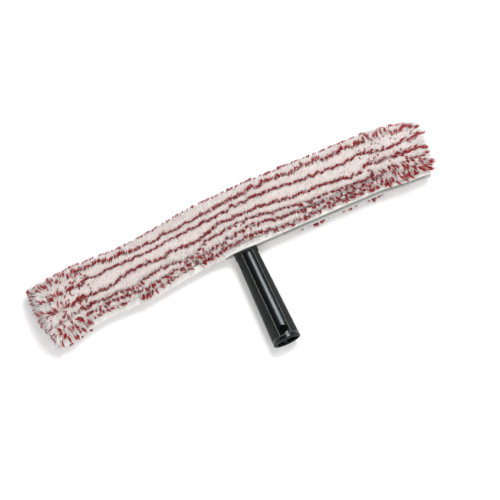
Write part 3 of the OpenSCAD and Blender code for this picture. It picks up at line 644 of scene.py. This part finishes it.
def growStrands(name, shape, root, middle, tip, radius, shade):
    # one bent copy of the shape per root, as one mesh
    points, corners = shape
    count, size = len(root), len(points)
    t = points[:, 2][None, :, None]
    line = (1 - t) ** 2 * root[:, None] + 2 * t * (1 - t) * middle[:, None] + t * t * tip[:, None]
    way = tip - root
    way /= np.linalg.norm(way, axis=1, keepdims=True)
    helper = np.where(np.abs(way[:, :1]) < 0.8, [[1.0, 0, 0]], [[0, 1.0, 0]])
    sideA = np.cross(way, helper)
    sideA /= np.linalg.norm(sideA, axis=1, keepdims=True)
    sideB = np.cross(way, sideA)
    turn = (np.arange(count) * 2.4)[:, None]
    turnedA = sideA * np.cos(turn) + sideB * np.sin(turn)
    turnedB = sideB * np.cos(turn) - sideA * np.sin(turn)
    rings = points[None, :, :1] * turnedA[:, None] + points[None, :, 1:2] * turnedB[:, None]
    verts = line + rings * radius[:, None, None]
    # nothing reaches below the floor
    low = floorZ + 0.1 + 0.5 * np.clip(points[None, :, 0], 0, 1) * radius[:, None]
    verts[..., 2] = np.maximum(verts[..., 2], low)
    faces = (corners[None] + size * np.arange(count)[:, None, None]).reshape(-1, 3)
    mesh = bpy.data.meshes.new(name)
    mesh.vertices.add(count * size)
    mesh.vertices.foreach_set("co", (verts * mm).astype(np.float32).ravel())
    mesh.loops.add(faces.size)
    mesh.loops.foreach_set("vertex_index", faces.ravel().astype(np.int32))
    mesh.polygons.add(len(faces))
    mesh.polygons.foreach_set("loop_start", np.arange(0, faces.size, 3, dtype=np.int32))
    mesh.update(calc_edges=True)
    mesh.polygons.foreach_set("use_smooth", np.ones(len(faces), bool))
    allShade = np.repeat(shade, size)
    allAlong = np.tile(points[:, 2], count)
    for key, values in (("shade", allShade), ("along", allAlong)):
        mesh.attributes.new(key, "FLOAT", "POINT").data.foreach_set("value", values.astype(np.float32))
    # the export's map: shade across and height up, so that it keeps both
    rounds = np.tile(np.arange(size) % 3 * 0.006, count)
    uv = np.stack([0.02 + 0.94 * allShade + rounds, 0.02 + 0.96 * allAlong], -1)
    bakeMap = mesh.uv_layers.new(name="OFBake").uv
    bakeMap.foreach_set("vector", uv[faces.ravel()].astype(np.float32).ravel())
    return addObject(name, mesh)


# White strands: spacing of the roots and how the pile lies, in millimetres
whitePile = {
    "spacing": 0.98,
    "radius": 0.45,
    "rowGap": 0.85,
    "lock": (3.4, 6.0),
    "clumping": 0.8,
    "stray": 0.55,
    "sunk": 1.6,  # how far the roots lie below the matted pile
    "combedRight": 0.6,
    "combedAcross": (-0.8, 2.2),  # away from the back line, at the back and in front
    "frontFrom": (34, 56),
}


def combField(x, w):
    # where the tips lie relative to the roots
    across = mix(*whitePile["combedAcross"], ramp(np.abs(w), whitePile["frontFrom"]))
    alongX = ripple(x, w, 60, 5) + 0.8 * ripple(x, w, 22, 6) + whitePile["combedRight"]
    return alongX, (across + ripple(x, w, 30, 7)) * np.where(w >= 0, 1, -1)


def lockWay(x, w):
    # way along x and w to the middle of the nearest lock, in uneven cells that repeat far apart
    lockX, lockW = whitePile["lock"]
    cells = (400, 60)
    jitter = np.random.default_rng(9).uniform(0, 1, (*cells, 2))
    slant = x + 0.35 * w
    cellX, cellW = np.floor(slant / lockX).astype(int), np.floor(w / lockW).astype(int)
    nearest, toX, toW = np.full(x.shape, 1e9), 0 * x, 0 * x
    for i in (-1, 0, 1):
        for j in (-1, 0, 1):
            place = jitter[(cellX + i) % cells[0], (cellW + j) % cells[1]]
            alongX = (cellX + i + place[:, 0]) * lockX - slant
            acrossW = (cellW + j + place[:, 1]) * lockW - w
            away = np.hypot(alongX, 0.6 * acrossW)
            closer = away < nearest
            nearest = np.where(closer, away, nearest)
            toX, toW = np.where(closer, alongX, toX), np.where(closer, acrossW, toW)
    return toX, toW


def plantPile(xRange, wRange, seed):
    # one root at a chance place in each cell of a grid, but none in a row or in the cleft
    rng = np.random.default_rng(seed)
    nx, nw = (max(1, round((high - low) / whitePile["spacing"])) for low, high in (xRange, wRange))
    gx, gw = np.meshgrid(np.arange(nx), np.arange(nw), indexing="ij")
    x, w = (
        low + (grid.ravel() + rng.uniform(0.05, 0.95, nx * nw)) / n * (high - low)
        for grid, n, (low, high) in ((gx, nx, xRange), (gw, nw, wRange))
    )
    keep = (np.abs(rowDistance(x, w)) > whitePile["rowGap"]) & (inCleft(x, w) < cleft["bare"])
    return x[keep], w[keep], rng


def whiteStrands(name, xRange, wRange, seed):
    x, w, rng = plantPile(xRange, wRange, seed)
    count = len(x)
    away = rowDistance(x, w)
    # tips gather into locks, more so in front, and lean a little over the rows
    toX, toW = lockWay(x, w)
    combX, combW = combField(x, w)
    fanX, fanW = fanOut(x, w)
    overRow = 0.9 * np.sign(away) * np.exp(-np.abs(away) / 2.2)
    gather = whitePile["clumping"] * (0.55 + 0.45 * ramp(np.abs(w), (26, 40)))
    dx = combX + fanX + gather * toX + rng.normal(0, whitePile["stray"], count)
    dw = combW * 0.7 + fanW + 0.25 * toW + rng.normal(0, whitePile["stray"], count) - overRow
    full = plushHeight(w) + crownHeight(np.abs(away))
    full = full * rng.uniform(0.86, 1.06, count) + 0.3 * ripple(x, w, 9, 3)
    full = np.minimum(full, plushRoom(x, w) + 1.5)
    start = np.maximum(bedHeight(x, w) - whitePile["sunk"], 0.2)
    root = surfacePoint(x, w, start)
    tip = surfacePoint(x, w + dw, full)
    tip[:, 0] = x + dx + endSpread(x, w, full)
    middle = surfacePoint(x, w + 0.25 * dw, mix(start, full, 0.65))
    middle[:, 0] = mix(x, tip[:, 0], 0.3)
    radius = whitePile["radius"] * rng.uniform(0.75, 1.2, count)
    shade = np.clip(0.55 + 0.25 * ripple(x, w, 14, 8) + rng.normal(0, 0.18, count), 0, 1)
    return growStrands(name, whiteShape, root, middle, tip, radius, shade)


# Red strands stand in tufts along each row: close together at the back, apart as short dashes in front.
# Each kind has its pitch and strands, then its rise over the pile, splay, width, lean and how it varies
tuftValues = ("pitch", "strands", "rise", "splay", "width", "lean", "vary")
tuftTable = {
    "edge": (5.6, 15, 1.5, 0.7, 1.25, (2.6, -0.6), 0.7),
    "line": (2.2, 9, 1.2, 1.0, 0.65, (1.4, -0.4), 0.9),
    "dash": (2.6, 9, 1.5, 0.55, 0.42, (1.2, 2.0), 1.5),
    "under": (3.2, 7, 1.2, 0.7, 0.5, (0.8, -0.8), 0.9),
    "fringe": (4.2, 14, 1.0, 0.5, 0.9, (0.8, 3.4), 0.6),
    "loose": (None, 6, 1.3, 0.45, 0.35, (0.6, 0.8), 1.6),
}
tuftLooks = {kind: dict(zip(tuftValues, values)) for kind, values in tuftTable.items()}
rowLooks = {"back": "edge", "shoulder": "line", "upper": "line", "middle": "line"}
redTufts = {
    "radius": 0.44,
    "scatter": 0.5,
    "foot": 1.2,
    "closedEnd": (-162, -187),  # where the rows break up
    "openEnd": (150, 175),
    "seamShare": 0.45,  # tufts left in the row next to the lip, along the sewn seam
    "seamEnds": (-75, -45),
}
# Both ends also carry tufts outside the rows: stretch of x and w, and how many to a square centimetre
looseEnds = [
    {"from": -222, "to": -166, "above": 14, "below": 52, "density": 3.4},
    {"from": 152, "to": 222, "above": 14, "below": 66, "density": 2.0},
]
# The underside's last row peeps out below the lip where the seam is open, and is drawn in elsewhere
fringe = {"out": 5, "in": 4, "starts": (45, 65), "stops": (178, 163)}


def tuftKind(name):
    if name == underNames[-1]:
        return "fringe"
    return "under" if name in underNames else rowLooks.get(name, "dash")


def fringeReach(x):
    shown = ramp(x, fringe["starts"]) * ramp(x, fringe["stops"])
    return fringe["out"] * shown - fringe["in"] * (1 - shown)


def loosened(x, closed, opened):
    # how much the rows break up, towards the closed end and the open one
    return closed * ramp(x, redTufts["closedEnd"]) + opened * ramp(x, redTufts["openEnd"])


def growTufts(look, rng, centre, base, row, xRange):
    # strands of one group of tufts: centre and base are the x and w of each, row gives w along x
    n, each = len(centre), look["strands"]
    fanX, fanW = fanOut(centre, base)
    outward = np.where(base >= 0, 1, -1)
    vary = look["vary"] * (1 + 0.4 * loosened(centre, 2.0, 1.2))
    leanX, leanW = look["lean"]
    tuftX = leanX + fanX + 0.8 * ripple(centre, 0 * centre, 26, 21) + rng.normal(0, 1, n) * vary
    tuftW = leanW + 0.6 * ripple(centre, 0 * centre, 13, 22) + rng.normal(0, 0.6, n) * vary
    tuftW = tuftW * outward + fanW
    tall = rng.normal(0, 0.4, n)
    total = n * each
    x = np.repeat(centre, each) + rng.normal(0, look["width"], total)
    x = np.clip(x, xRange[0] + 0.2, xRange[1] - 0.2)
    w = np.repeat(base - row(centre), each) + row(x) + rng.normal(0, redTufts["scatter"], total)
    dx = np.repeat(tuftX, each) + rng.normal(0, look["splay"], total)
    dw = np.repeat(tuftW, each) + rng.normal(0, 0.7 * look["splay"], total)
    full = plushHeight(w) + look["rise"] + np.repeat(tall, each) + rng.uniform(-1.0, 0.4, total)
    full = np.minimum(full, plushRoom(x, w) + 1.2)
    foot = redTufts["foot"]
    root = surfacePoint(x, w, foot)
    tip = surfacePoint(x, w + dw, full)
    spread = np.repeat(rng.uniform(0.3, 0.9, n), each)
    tip[:, 0] = x + dx + endSpread(x, w, full) * spread
    middle = surfacePoint(x, w + 0.2 * dw, mix(foot, full, 0.62))
    middle[:, 0] = mix(x, tip[:, 0], 0.25)
    radius = redTufts["radius"] * rng.uniform(0.8, 1.2, total)
    shade = np.clip(rng.normal(0.45, 0.25, total), 0, 1)
    keep = inCleft(x, w) < cleft["bare"]
    return [values[keep] for values in (root, middle, tip, radius, shade)]


def redTuftStrands(rows, xRange, wRange):
    # arrays of root, middle, tip, radius and shade for all tufts of some rows
    parts = []
    for index, (name, row) in rows:
        rng = np.random.default_rng(300 + index)
        kind = tuftKind(name)
        look = tuftLooks[kind]
        n = round((xRange[1] - xRange[0]) / look["pitch"])
        centre = xRange[0] + (np.arange(n) + rng.uniform(0.15, 0.85, n)) / n * (xRange[1] - xRange[0])
        loose = loosened(centre, 2.2, 1.4) + (0.5 if kind == "dash" else 0)
        base = row(centre) + rng.normal(0, 1, n) * loose
        if kind == "fringe":
            base = base - fringeReach(centre) * rng.uniform(0.2, 1, n)
        if name == "lip":
            share = mix(redTufts["seamShare"], 1, ramp(centre, redTufts["seamEnds"]))
            left = rng.uniform(0, 1, n) < share
            centre, base = centre[left], base[left]
        parts.append(growTufts(look, rng, centre, base, row, xRange))
    for k, end in enumerate(looseEnds):
        low, high = max(end["from"], xRange[0]), min(end["to"], xRange[1])
        bottom, top = max(wRange[0], end["above"]), min(wRange[1], end["below"])
        if low < high and bottom < top:
            rng = np.random.default_rng(700 + k + round(bottom))
            n = round((high - low) * (top - bottom) / 100 * end["density"])
            centre, base = rng.uniform(low, high, n), rng.uniform(bottom, top, n)
            parts.append(growTufts(tuftLooks["loose"], rng, centre, base, lambda x: 0 * x, xRange))
    return [np.concatenate(group) for group in zip(*parts)]


def rowsBetween(low, high):
    # rows whose place near the middle of the sleeve lies in this stretch of w, with their numbers
    found = []
    for index, (name, row) in enumerate(redRows):
        place = np.clip(row(np.array([60.0]))[0], 0.5 - edgeW, edgeW - 0.5)
        if low <= place < high:
            found.append((index, (name, row)))
    return found


def dressPlush(names, xRange, wRange, seed, body, *nodes):
    # white strands and red rows over one stretch: names of the two pieces, then the nodes
    white = whiteStrands(names[0], xRange, wRange, seed)
    dress(white, "white", body, "white_pile", *nodes[0])
    red = growStrands(names[1], redShape, *redTuftStrands(rowsBetween(*wRange), xRange, wRange))
    dress(red, "red", body, "red_strands", *nodes[1])


def makePlush():
    seed = 100
    for half, xRange in ends.items():
        for part, (low, high) in stretches.items():
            names = (f"{part}_white_pile_{half}_half", f"{part}_red_rows_{half}_half")
            nodes = [f"{part}_pile_{half}_half"], [f"{part}_strands_{half}_half"]
            if half == "split":
                low, high = max(low, -lipW), min(high, lipW)
            dressPlush(names, xRange, (low, high), seed, "sleeve", *nodes)
            seed += 1
        print("pile of the", half, "half")
    for body, wRange in lipRanges(edgeW):
        lip = lipName(body)
        nodes = [f"{body}_pile", "neck_pile"], [f"{body}_strands", "neck_strands"]
        dressPlush((f"{lip}_white_pile", f"{lip}_red_row"), ends["split"], wRange, seed, body, *nodes)
        seed += 1
    print("pile of the lips")


makePlush()


def stations(low, high, step):
    return np.linspace(low, high, max(2, round((high - low) / step) + 1))


def bedShape(x, w):
    h = bedHeight(x, w)
    points = surfacePoint(x, w, h)
    points[:, 0] += endSpread(x, w, h)
    return points


def bedPaintedShade(x, w):
    # painted shade on the bed: dark in the cleft and under the rows, where the pile parts
    parting = 1 - ramp(np.abs(rowDistance(x, w)), (0, 1.7))
    return np.clip(2 * inCleft(x, w) + 0.35 * parting, 0, 1)


matted = {"thickness": 0.6, "stepX": 2.6, "stepW": 1.15}


def makeBeds():
    beds = [
        ("matted_pile_sewn_half", "sleeve", ends["sewn"], (-edgeW, edgeW)),
        ("matted_pile_split_half", "sleeve", ends["split"], (-lipW, lipW)),
    ]
    for body, wRange in lipRanges(edgeW):
        beds.append((lipName(body) + "_matted_pile", body, ends["split"], wRange))
    for name, body, xRange, wRange in beds:
        xs, ws = stations(*xRange, matted["stepX"]), stations(*wRange, matted["stepW"])
        bed = thicken(surfaceSheet(name, xs, ws, bedShape, depth=bedPaintedShade), matted["thickness"])
        dress(bed, "bed", body, "white_pile")


makeBeds()
print("matted pile laid")


def clothShape(x, w):
    return surfacePoint(x, w, 0 * x)


def roundStations(low, high):
    # stations of w, with one at each fold and at each end of the arc round the back
    spans = [low, *(w for w in (-lipW, -arcW, arcW, lipW) if low < w < high), high]
    return np.unique(np.concatenate([stations(a, b, 2.4) for a, b in zip(spans, spans[1:])]))


def sewTogether(sheets, reach):
    # join sheets that meet into one mesh
    bm = bmesh.new()
    for sheet in sheets:
        bm.from_mesh(sheet.data)
    bmesh.ops.remove_doubles(bm, verts=bm.verts[:], dist=reach * mm)
    for sheet in sheets:
        bpy.data.objects.remove(sheet)
    return bm


def closeEnd(bm, x, inward):
    # fill the open edge at this end of a tube, from which the piece goes inward along x: 1 or -1
    rim = [
        e for e in bm.edges
        if e.is_boundary and all((v.co.x / mm - x) * inward < 0.01 for v in e.verts)
    ]
    bmesh.ops.contextual_create(bm, geom=rim)


def makeBacking():
    # the tube of cloth: whole lips in the sewn half, none in the split half
    lipEdge = backU - tipU
    sheets = [
        surfaceSheet(half, stations(*ends[half], step), roundStations(-edge, edge), clothShape)
        for half, step, edge in (("sewn", 4, lipEdge), ("split", 6, lipW))
    ]
    bm = sewTogether(sheets, 0.02)
    closeEnd(bm, -sleeveEnd, 1)
    tube = thicken(finishMesh("sleeve_backing", bm), cloth["thickness"])
    nodes = ("sewn_backing", "split_backing", "closed_end_panel")
    dress(tube, "backing", "sleeve", "backing_cloth", *nodes)
    lips = []
    for body, (low, high) in lipRanges(lipEdge):
        ws = stations(low + 0.2, high - 0.2, 1.5)
        lip = surfaceSheet(lipName(body), stations(*ends["split"], 5), ws, clothShape)
        thicken(lip, cloth["thickness"])
        dress(lip, "backing", body, "backing_cloth", body, "neck_lips")
        lips.append(lip)
    return tube, lips


backing, lips = makeBacking()
print("backing cut")

# Hem tape: its width on the face, and how much more of it goes round the edge of a lip
hem = {
    "width": 5,
    "thickness": 0.6,
    "lift": 0.12,
    "step": 1.15,
    "sewnTurn": 4,
    "sewnBulge": 0.45,
    "openTurn": 2.4,
    "inside": 4,
    "pucker": 0.12,
    "puckerPitch": 4.6,
}


def hemShape(side, closed):
    # section of the tape: over the lip, round its edge and back inside; the sewn one wraps both lips
    def shape(x, w):
        flat, lift = hem["width"], hem["lift"]
        over = np.clip(w, 0, flat)
        y, z = facePoint(x, tipU + flat - over)
        around = np.clip(w - flat, 0, None)
        if closed:
            radius = lipHeight(x) + cloth["thickness"] / 2 + lift
            turn = np.clip(around / hem["sewnTurn"], 0, 1) * math.pi / 2
            y = y - radius * hem["sewnBulge"] * np.sin(turn)
            z = (z + lift) * np.where(around > 0, np.cos(turn), 1)
        else:
            radius = (cloth["thickness"] + lift) / 2
            rise = facePoint(x, np.full_like(x, tipU + flat))[1] - facePoint(x, np.full_like(x, tipU))[1]
            lean = np.arctan2(rise, flat)
            turn = np.clip(around / hem["openTurn"], 0, 1) * math.pi
            back = np.clip(around - hem["openTurn"], 0, None)
            y = y - radius * np.sin(turn) + back * np.cos(lean)
            z = z + lift - radius * (1 - np.cos(turn)) + back * np.sin(lean)
        wave = np.sin(x * 2 * math.pi / hem["puckerPitch"])
        z = z + hem["pucker"] * wave * (over > 0.5) * (over < flat)
        return np.stack([x, y + stray(x, 60) + barY, z * side], -1)

    return shape


def makeHems():
    xs = stations(*ends["sewn"], hem["step"])
    ws = np.linspace(0, hem["width"] + hem["sewnTurn"], 19)
    over = surfaceSheet("over", xs, ws, hemShape(1, True))
    below = surfaceSheet("below", xs, ws, hemShape(-1, True), outward=False)
    bm = sewTogether((over, below), 0.05)
    for x, inward in zip(ends["sewn"], (1, -1)):
        closeEnd(bm, x, inward)
    seam = thicken(finishMesh("seam_tape", bm), hem["thickness"], 1)
    made = [dress(seam, "tape", "sleeve", "hem_tape", "seam_hem")]
    xs = stations(*ends["split"], hem["step"])
    ws = np.linspace(0, hem["width"] + hem["openTurn"] + hem["inside"], 24)
    for body, side in lipBodies.items():
        tape = surfaceSheet(lipName(body) + "_tape", xs, ws, hemShape(side, False), outward=side > 0)
        thicken(tape, hem["thickness"], 1)
        made.append(dress(tape, "tape", body, "hem_tape", f"{body}_hem", "neck_hems"))
    return made


hems = makeHems()
print("hem tapes sewn on")

stitch = {"pitch": 4.4, "length": 3.1, "radius": 0.24, "across": 3.3, "arch": 1.5, "shade": 0.6}


def stitchRow(xRange, section):
    # threads that dive into the tape at both ends, as root, middle and tip places
    starts = np.arange(xRange[0] + 1, xRange[1] - stitch["length"], stitch["pitch"])
    rows = []
    for along, lift in ((0, 0.35), (0.5, 0.6 + stitch["arch"]), (1, 0.35)):
        x = starts + along * stitch["length"]
        base = section(x, np.full_like(x, stitch["across"]))
        side = np.sign(base[:, 2:])
        rows.append(base + side * [[0, 0, 1]] * lift)
    return rows


def makeStitches():
    plan = [("seam_threads", "sleeve", ends["sewn"], (1, -1), True, "seam_stitching")]
    for body, side in lipBodies.items():
        name = lipName(body) + "_threads"
        plan.append((name, body, ends["split"], (side,), False, f"{body}_stitching"))
    for name, body, xRange, sides, closed, node in plan:
        rows = [stitchRow(xRange, hemShape(side, closed)) for side in sides]
        root, middle, tip = (np.concatenate(group) for group in zip(*rows))
        radius, shade = (np.full(len(root), stitch[key]) for key in ("radius", "shade"))
        threads = growStrands(name, stubShape, root, middle, tip, radius, shade)
        dress(threads, "thread", body, "thread", node)


makeStitches()

# Hook-and-loop closure inside the lips of the open seam
closure = {"inset": 1, "width": 8, "base": 0.6, "endGap": 2, "strand": 0.16}
# Each strip: its node, body, look and slot, the pitch of its strands and the height where they end
strips = [
    ("hook_strip", "upper_flap", "hooks", "hook_tape", 1.5, 1.1),
    ("loop_strip", "lower_flap", "loops", "loop_tape", 1.0, 0.5),
]


def liningPoint(x, u, depth, side):
    # place at this depth under the inner face of a lip
    y, z = facePoint(x, u)
    z = (z - cloth["thickness"] - depth) * side
    return np.stack([x, y + stray(x, backU - u) + barY, z], -1)


def makeClosure():
    low = tipU + closure["inset"]
    high = low + closure["width"]
    xs = stations(flapStart + closure["endGap"], sleeveEnd - closure["endGap"], 3)
    for node, body, look, slot, pitch, end in strips:
        side = lipBodies[body]

        def tapeShape(x, u):
            return liningPoint(x, u, 0.05, side)

        base = surfaceSheet(f"{node}_base", xs, stations(low, high, 1.6), tapeShape, outward=side > 0)
        thicken(base, closure["base"], 1)
        dress(base, "closure", body, slot, node)
        rng = np.random.default_rng(500 + side)
        gx, gu = np.meshgrid(
            np.arange(xs[0] + 1, xs[-1] - 1.5, pitch), np.arange(low + 0.7, high - 0.5, pitch)
        )
        count = gx.size
        x = gx.ravel() + rng.normal(0, 0.1 * pitch, count)
        u = gu.ravel() + rng.normal(0, 0.1 * pitch, count)
        # the hooks all bend one way, the loops lie as they like
        lean, tall = 0.9, 2.0
        if look == "loops":
            lean, tall = rng.uniform(-1.3, 1.3, count), rng.uniform(1.6, 2.8, count)
        root = liningPoint(x, u, 0.5, side)
        middle = liningPoint(x + 0.3 * lean, u, tall, side)
        tip = liningPoint(x + lean, u + 0.3 * lean, end, side)
        radius, shade = np.full(count, closure["strand"]), rng.uniform(0, 1, count)
        fibres = growStrands(f"{node}_fibres", stubShape, root, middle, tip, radius, shade)
        dress(fibres, look, body, slot, node)


makeClosure()
print("closure and stitches made")

# Pile over the closed end: it bulges from the end panel and fans out like a brush
endPile = {
    "bulge": 6.5,
    "reach": 8.8,
    "cornerLoss": 0.5,
    "fan": 0.75,
    "sunk": 1.5,
    "white": 2500,
    "whiteRadius": 0.5,
    "tufts": 62,
    "strands": 6,
    "rings": [0, 0.3, 0.7, 1],  # from the rim to the middle, with the height and the bulge at each
    "levels": [1, 0.82, 0.45, 0.02],
    "bulges": [0, 0.5, 0.85, 1],
}


def endPoint(ring, w):
    # ring runs from 0 at the sleeve's rim to 1 at the middle line of the end
    x = np.full_like(w, -sleeveEnd)
    rim = surfacePoint(x, w, np.minimum(bedHeight(x, w), 3.5))
    middle = barY + stray(x, w) * 0.5 + np.interp(np.abs(w), [0, edgeW], [backU - 14, tipU + 10])
    level = np.interp(ring, endPile["rings"], endPile["levels"])
    bulge = endPile["bulge"] * (1 - 0.6 * frontCorner(w))
    out = np.interp(ring, endPile["rings"], endPile["bulges"]) * bulge
    y = mix(middle, rim[..., 1], 0.55 + 0.45 * level)
    return np.stack([rim[..., 0] - out, y, rim[..., 2] * level], -1)


def endWay(ring, w, spread):
    # the way the pile points at that place of the end
    x = np.full_like(w, -sleeveEnd)
    rim = surfacePoint(x, w, 3)
    across = (rim[:, 1] - barY - stray(x, 0 * w) - 2) / 34
    up = rim[:, 2] / 14
    turned = endPile["fan"] * (1 - 0.6 * ring)
    way = np.stack([-np.ones_like(w), turned * across * 1.3, turned * up * 1.1], -1) + spread
    return way / np.linalg.norm(way, axis=1, keepdims=True)


def endStrands(ring, w, jitter, reach):
    # root, middle and tip of each strand, which droops a little
    way = endWay(ring, w, jitter)
    root = endPoint(ring, w) - way * endPile["sunk"]
    tip = root + way * (reach + endPile["sunk"])[:, None]
    tip[:, 2] -= 0.06 * reach
    return root, mix(root, tip, 0.55) + way * 0.4, tip


def endReach(ring, w, share, ringLoss):
    # length of each strand: a share of the whole, less so towards the middle and the front corners
    corner = 1 - endPile["cornerLoss"] * frontCorner(w)
    return endPile["reach"] * share * (1 - ringLoss * ring) * corner


def makeClosedEnd():
    rings, ws = np.linspace(0, 1, 12), stations(-edgeW, edgeW, 2.4)
    bed = surfaceSheet("closed_end_matted_pile", rings, ws, endPoint, False)
    thicken(bed, matted["thickness"])
    dress(bed, "bed", "sleeve", "white_pile", "closed_end_pile")
    rng = np.random.default_rng(71)

    count = endPile["white"]
    ring, w = np.sqrt(rng.uniform(0, 1, count)), rng.uniform(-edgeW, edgeW, count)
    reach = endReach(ring, w, rng.uniform(0.72, 1.0, count), 0.3)
    parts = endStrands(ring, w, rng.normal(0, 0.14, (count, 3)), reach)
    shade = np.clip(rng.normal(0.6, 0.2, count), 0, 1)
    radius = endPile["whiteRadius"] * rng.uniform(0.8, 1.2, count)
    pile = growStrands("closed_end_white_pile", whiteShape, *parts, radius, shade)
    dress(pile, "white", "sleeve", "white_pile", "closed_end_pile")

    tufts, each = endPile["tufts"], endPile["strands"]
    total = tufts * each
    ring = np.repeat(rng.uniform(0, 0.9, tufts), each)
    w = np.repeat(np.linspace(-edgeW + 2, edgeW - 2, tufts) + rng.normal(0, 0.5, tufts), each)
    jitter = np.repeat(rng.normal(0, 0.16, (tufts, 3)), each, 0) + rng.normal(0, 0.07, (total, 3))
    reach = endReach(ring, w, rng.uniform(0.95, 1.2, total), 0.25)
    parts = endStrands(ring, w + rng.normal(0, 0.4, total), jitter, reach)
    shade = np.clip(rng.normal(0.5, 0.25, total), 0, 1)
    radius = np.full(total, redTufts["radius"])
    red = growStrands("closed_end_red_tufts", redShape, *parts, radius, shade)
    dress(red, "red", "sleeve", "red_strands", "closed_end_pile")


makeClosedEnd()
print("closed end covered")

# Two fine ribs along the handle's polished strip, and a thin ring at the edge of its collar, all in a
# light grey that is painted highlight
rib = {"across": 6.3, "radius": 0.42, "start": 6.2, "steps": 26, "neckRadius": 12.7, "collarHighlightRing": 0.3}


def makeRibs():
    # each rib follows the tapered tube at its place beside the strip
    bm = bmesh.new()
    ys = np.linspace(rib["start"], tubeEnd - 4, rib["steps"])
    radius = np.interp(ys, [5, tubeEnd - 5], [mouthRadius - 0.3, rib["neckRadius"]])
    height = np.sqrt(radius**2 - rib["across"] ** 2) + 0.12
    for side in (-1, 1):
        rim = bmesh.ops.create_circle(bm, segments=8, radius=rib["radius"] * mm)["verts"]
        bmesh.ops.rotate(bm, verts=rim, matrix=Matrix.Rotation(math.pi / 2, 3, "X"))
        place = Vector((side * rib["across"], ys[0], height[0])) * mm
        bmesh.ops.translate(bm, vec=place, verts=rim)
        edges = list({e for v in rim for e in v.link_edges})
        for ahead, up in zip(np.diff(ys), np.diff(height)):
            _, edges = extrudeRim(bm, edges, Vector((0, ahead, up)) * mm)
    bmesh.ops.holes_fill(bm, edges=[e for e in bm.edges if e.is_boundary])
    # the collar's painted highlight is a thin ring, sunk into the collar's corner
    start = bmesh.ops.create_circle(bm, segments=6, radius=rib["collarHighlightRing"] * mm)["verts"]
    place = Vector((mouthRadius - 0.22, handleLook["collar"][1], 0)) * mm
    bmesh.ops.translate(bm, vec=place, verts=start)
    loop = list({e for v in start for e in v.link_edges})
    turn = {"axis": (0, 1, 0), "cent": (0, 0, 0), "steps": 64, "angle": 2 * math.pi}
    bmesh.ops.spin(bm, geom=loop, use_merge=True, **turn)
    bmesh.ops.recalc_face_normals(bm, faces=bm.faces[:])
    ribs = finishMesh("handle_ribs", bm)
    dress(ribs, "rib", "t_bar", "handle_plastic")


makeRibs()
print("handle ribs made")

# Camera, from the photograph: it looks down on the scrubber from the left of the handle
view = {
    "azimuth": -24.15,
    "elevation": 73.0,
    "distance": 1.54,
    "lookAt": (0.0052, 0.1094, 0),
    "fieldOfView": 20,
}


def standOff(thing, target, way, distance):
    # place a camera or a lamp this way from its target, looking at it
    thing.location = Vector(target) + way * distance
    thing.rotation_mode = "QUATERNION"
    thing.rotation_quaternion = way.to_track_quat("Z", "Y")


def placeCamera():
    side, up = math.radians(view["azimuth"]), math.radians(view["elevation"])
    back = Vector((math.sin(side) * math.cos(up), -math.cos(side) * math.cos(up), math.sin(up)))
    camera = addObject("camera", bpy.data.cameras.new("camera"))
    camera.data.lens = camera.data.sensor_width / 2 / math.tan(math.radians(view["fieldOfView"]) / 2)
    standOff(camera, view["lookAt"], back, view["distance"])
    bpy.context.scene.camera = camera


placeCamera()

# Studio: how bright the room is at the horizon and overhead, two soft lamps, and how much the floor
# glows where the camera or a reflection sees it
studio = {
    "horizon": 0.9,
    "overhead": 0.16,
    "key": {"from": (0.31, 0.19, 0.93), "size": 0.55, "power": 16, "distance": 1.6},
    "fill": {"from": (-0.12, -0.62, 0.78), "size": 1.6, "power": 15.5, "distance": 2.0},
    "floorLift": 0.12,
}


def addLamp(name, lamp):
    made = addObject(name, bpy.data.lights.new(name, "AREA"))
    made.data.size = lamp["size"]
    made.data.energy = lamp["power"]
    standOff(made, (0, barY * mm, 0), Vector(lamp["from"]).normalized(), lamp["distance"])


def makeStudio():
    world = bpy.data.worlds.new("studio")
    world.use_nodes = True
    bpy.context.scene.world = world
    tree = world.node_tree
    height = addNode(tree, "SeparateXYZ", {0: addNode(tree, "TexCoord").outputs["Generated"]}).outputs[2]
    settings = {"Value": height, "From Min": 0.25, "From Max": 0.75}
    settings.update({"To Min": studio["horizon"], "To Max": studio["overhead"]})
    background = tree.nodes["Background"]
    feed(tree, background, Strength=addNode(tree, "MapRange", settings).outputs[0])
    background.inputs["Color"].default_value = (1, 1, 1, 1)
    for name in ("key", "fill"):
        addLamp(name, studio[name])
    bm = bmesh.new()
    bmesh.ops.create_grid(bm, x_segments=1, y_segments=1, size=8)
    bmesh.ops.translate(bm, vec=(0, 0, (floorZ - 0.1) * mm), verts=bm.verts[:])
    ground = finishMesh("floor", bm, False)
    made, tree, shader = newMaterial("floorWhite", Roughness=1.0, Specular_IOR_Level=0.0)
    seen = addNode(tree, "LightPath").outputs
    direct = mathNode(tree, "MAXIMUM", seen["Is Camera Ray"], seen["Is Glossy Ray"])
    shader.inputs["Emission Color"].default_value = (1, 1, 1, 1)
    feed(
        tree, shader,
        Base_Color=mixColours(tree, direct, (0.8, 0.8, 0.8, 1), (1, 1, 1, 1)),
        Emission_Strength=mathNode(tree, "MULTIPLY", direct, studio["floorLift"]),
    )
    ground.data.materials.append(made)


makeStudio()
bpy.context.scene.view_settings.view_transform = "Standard"
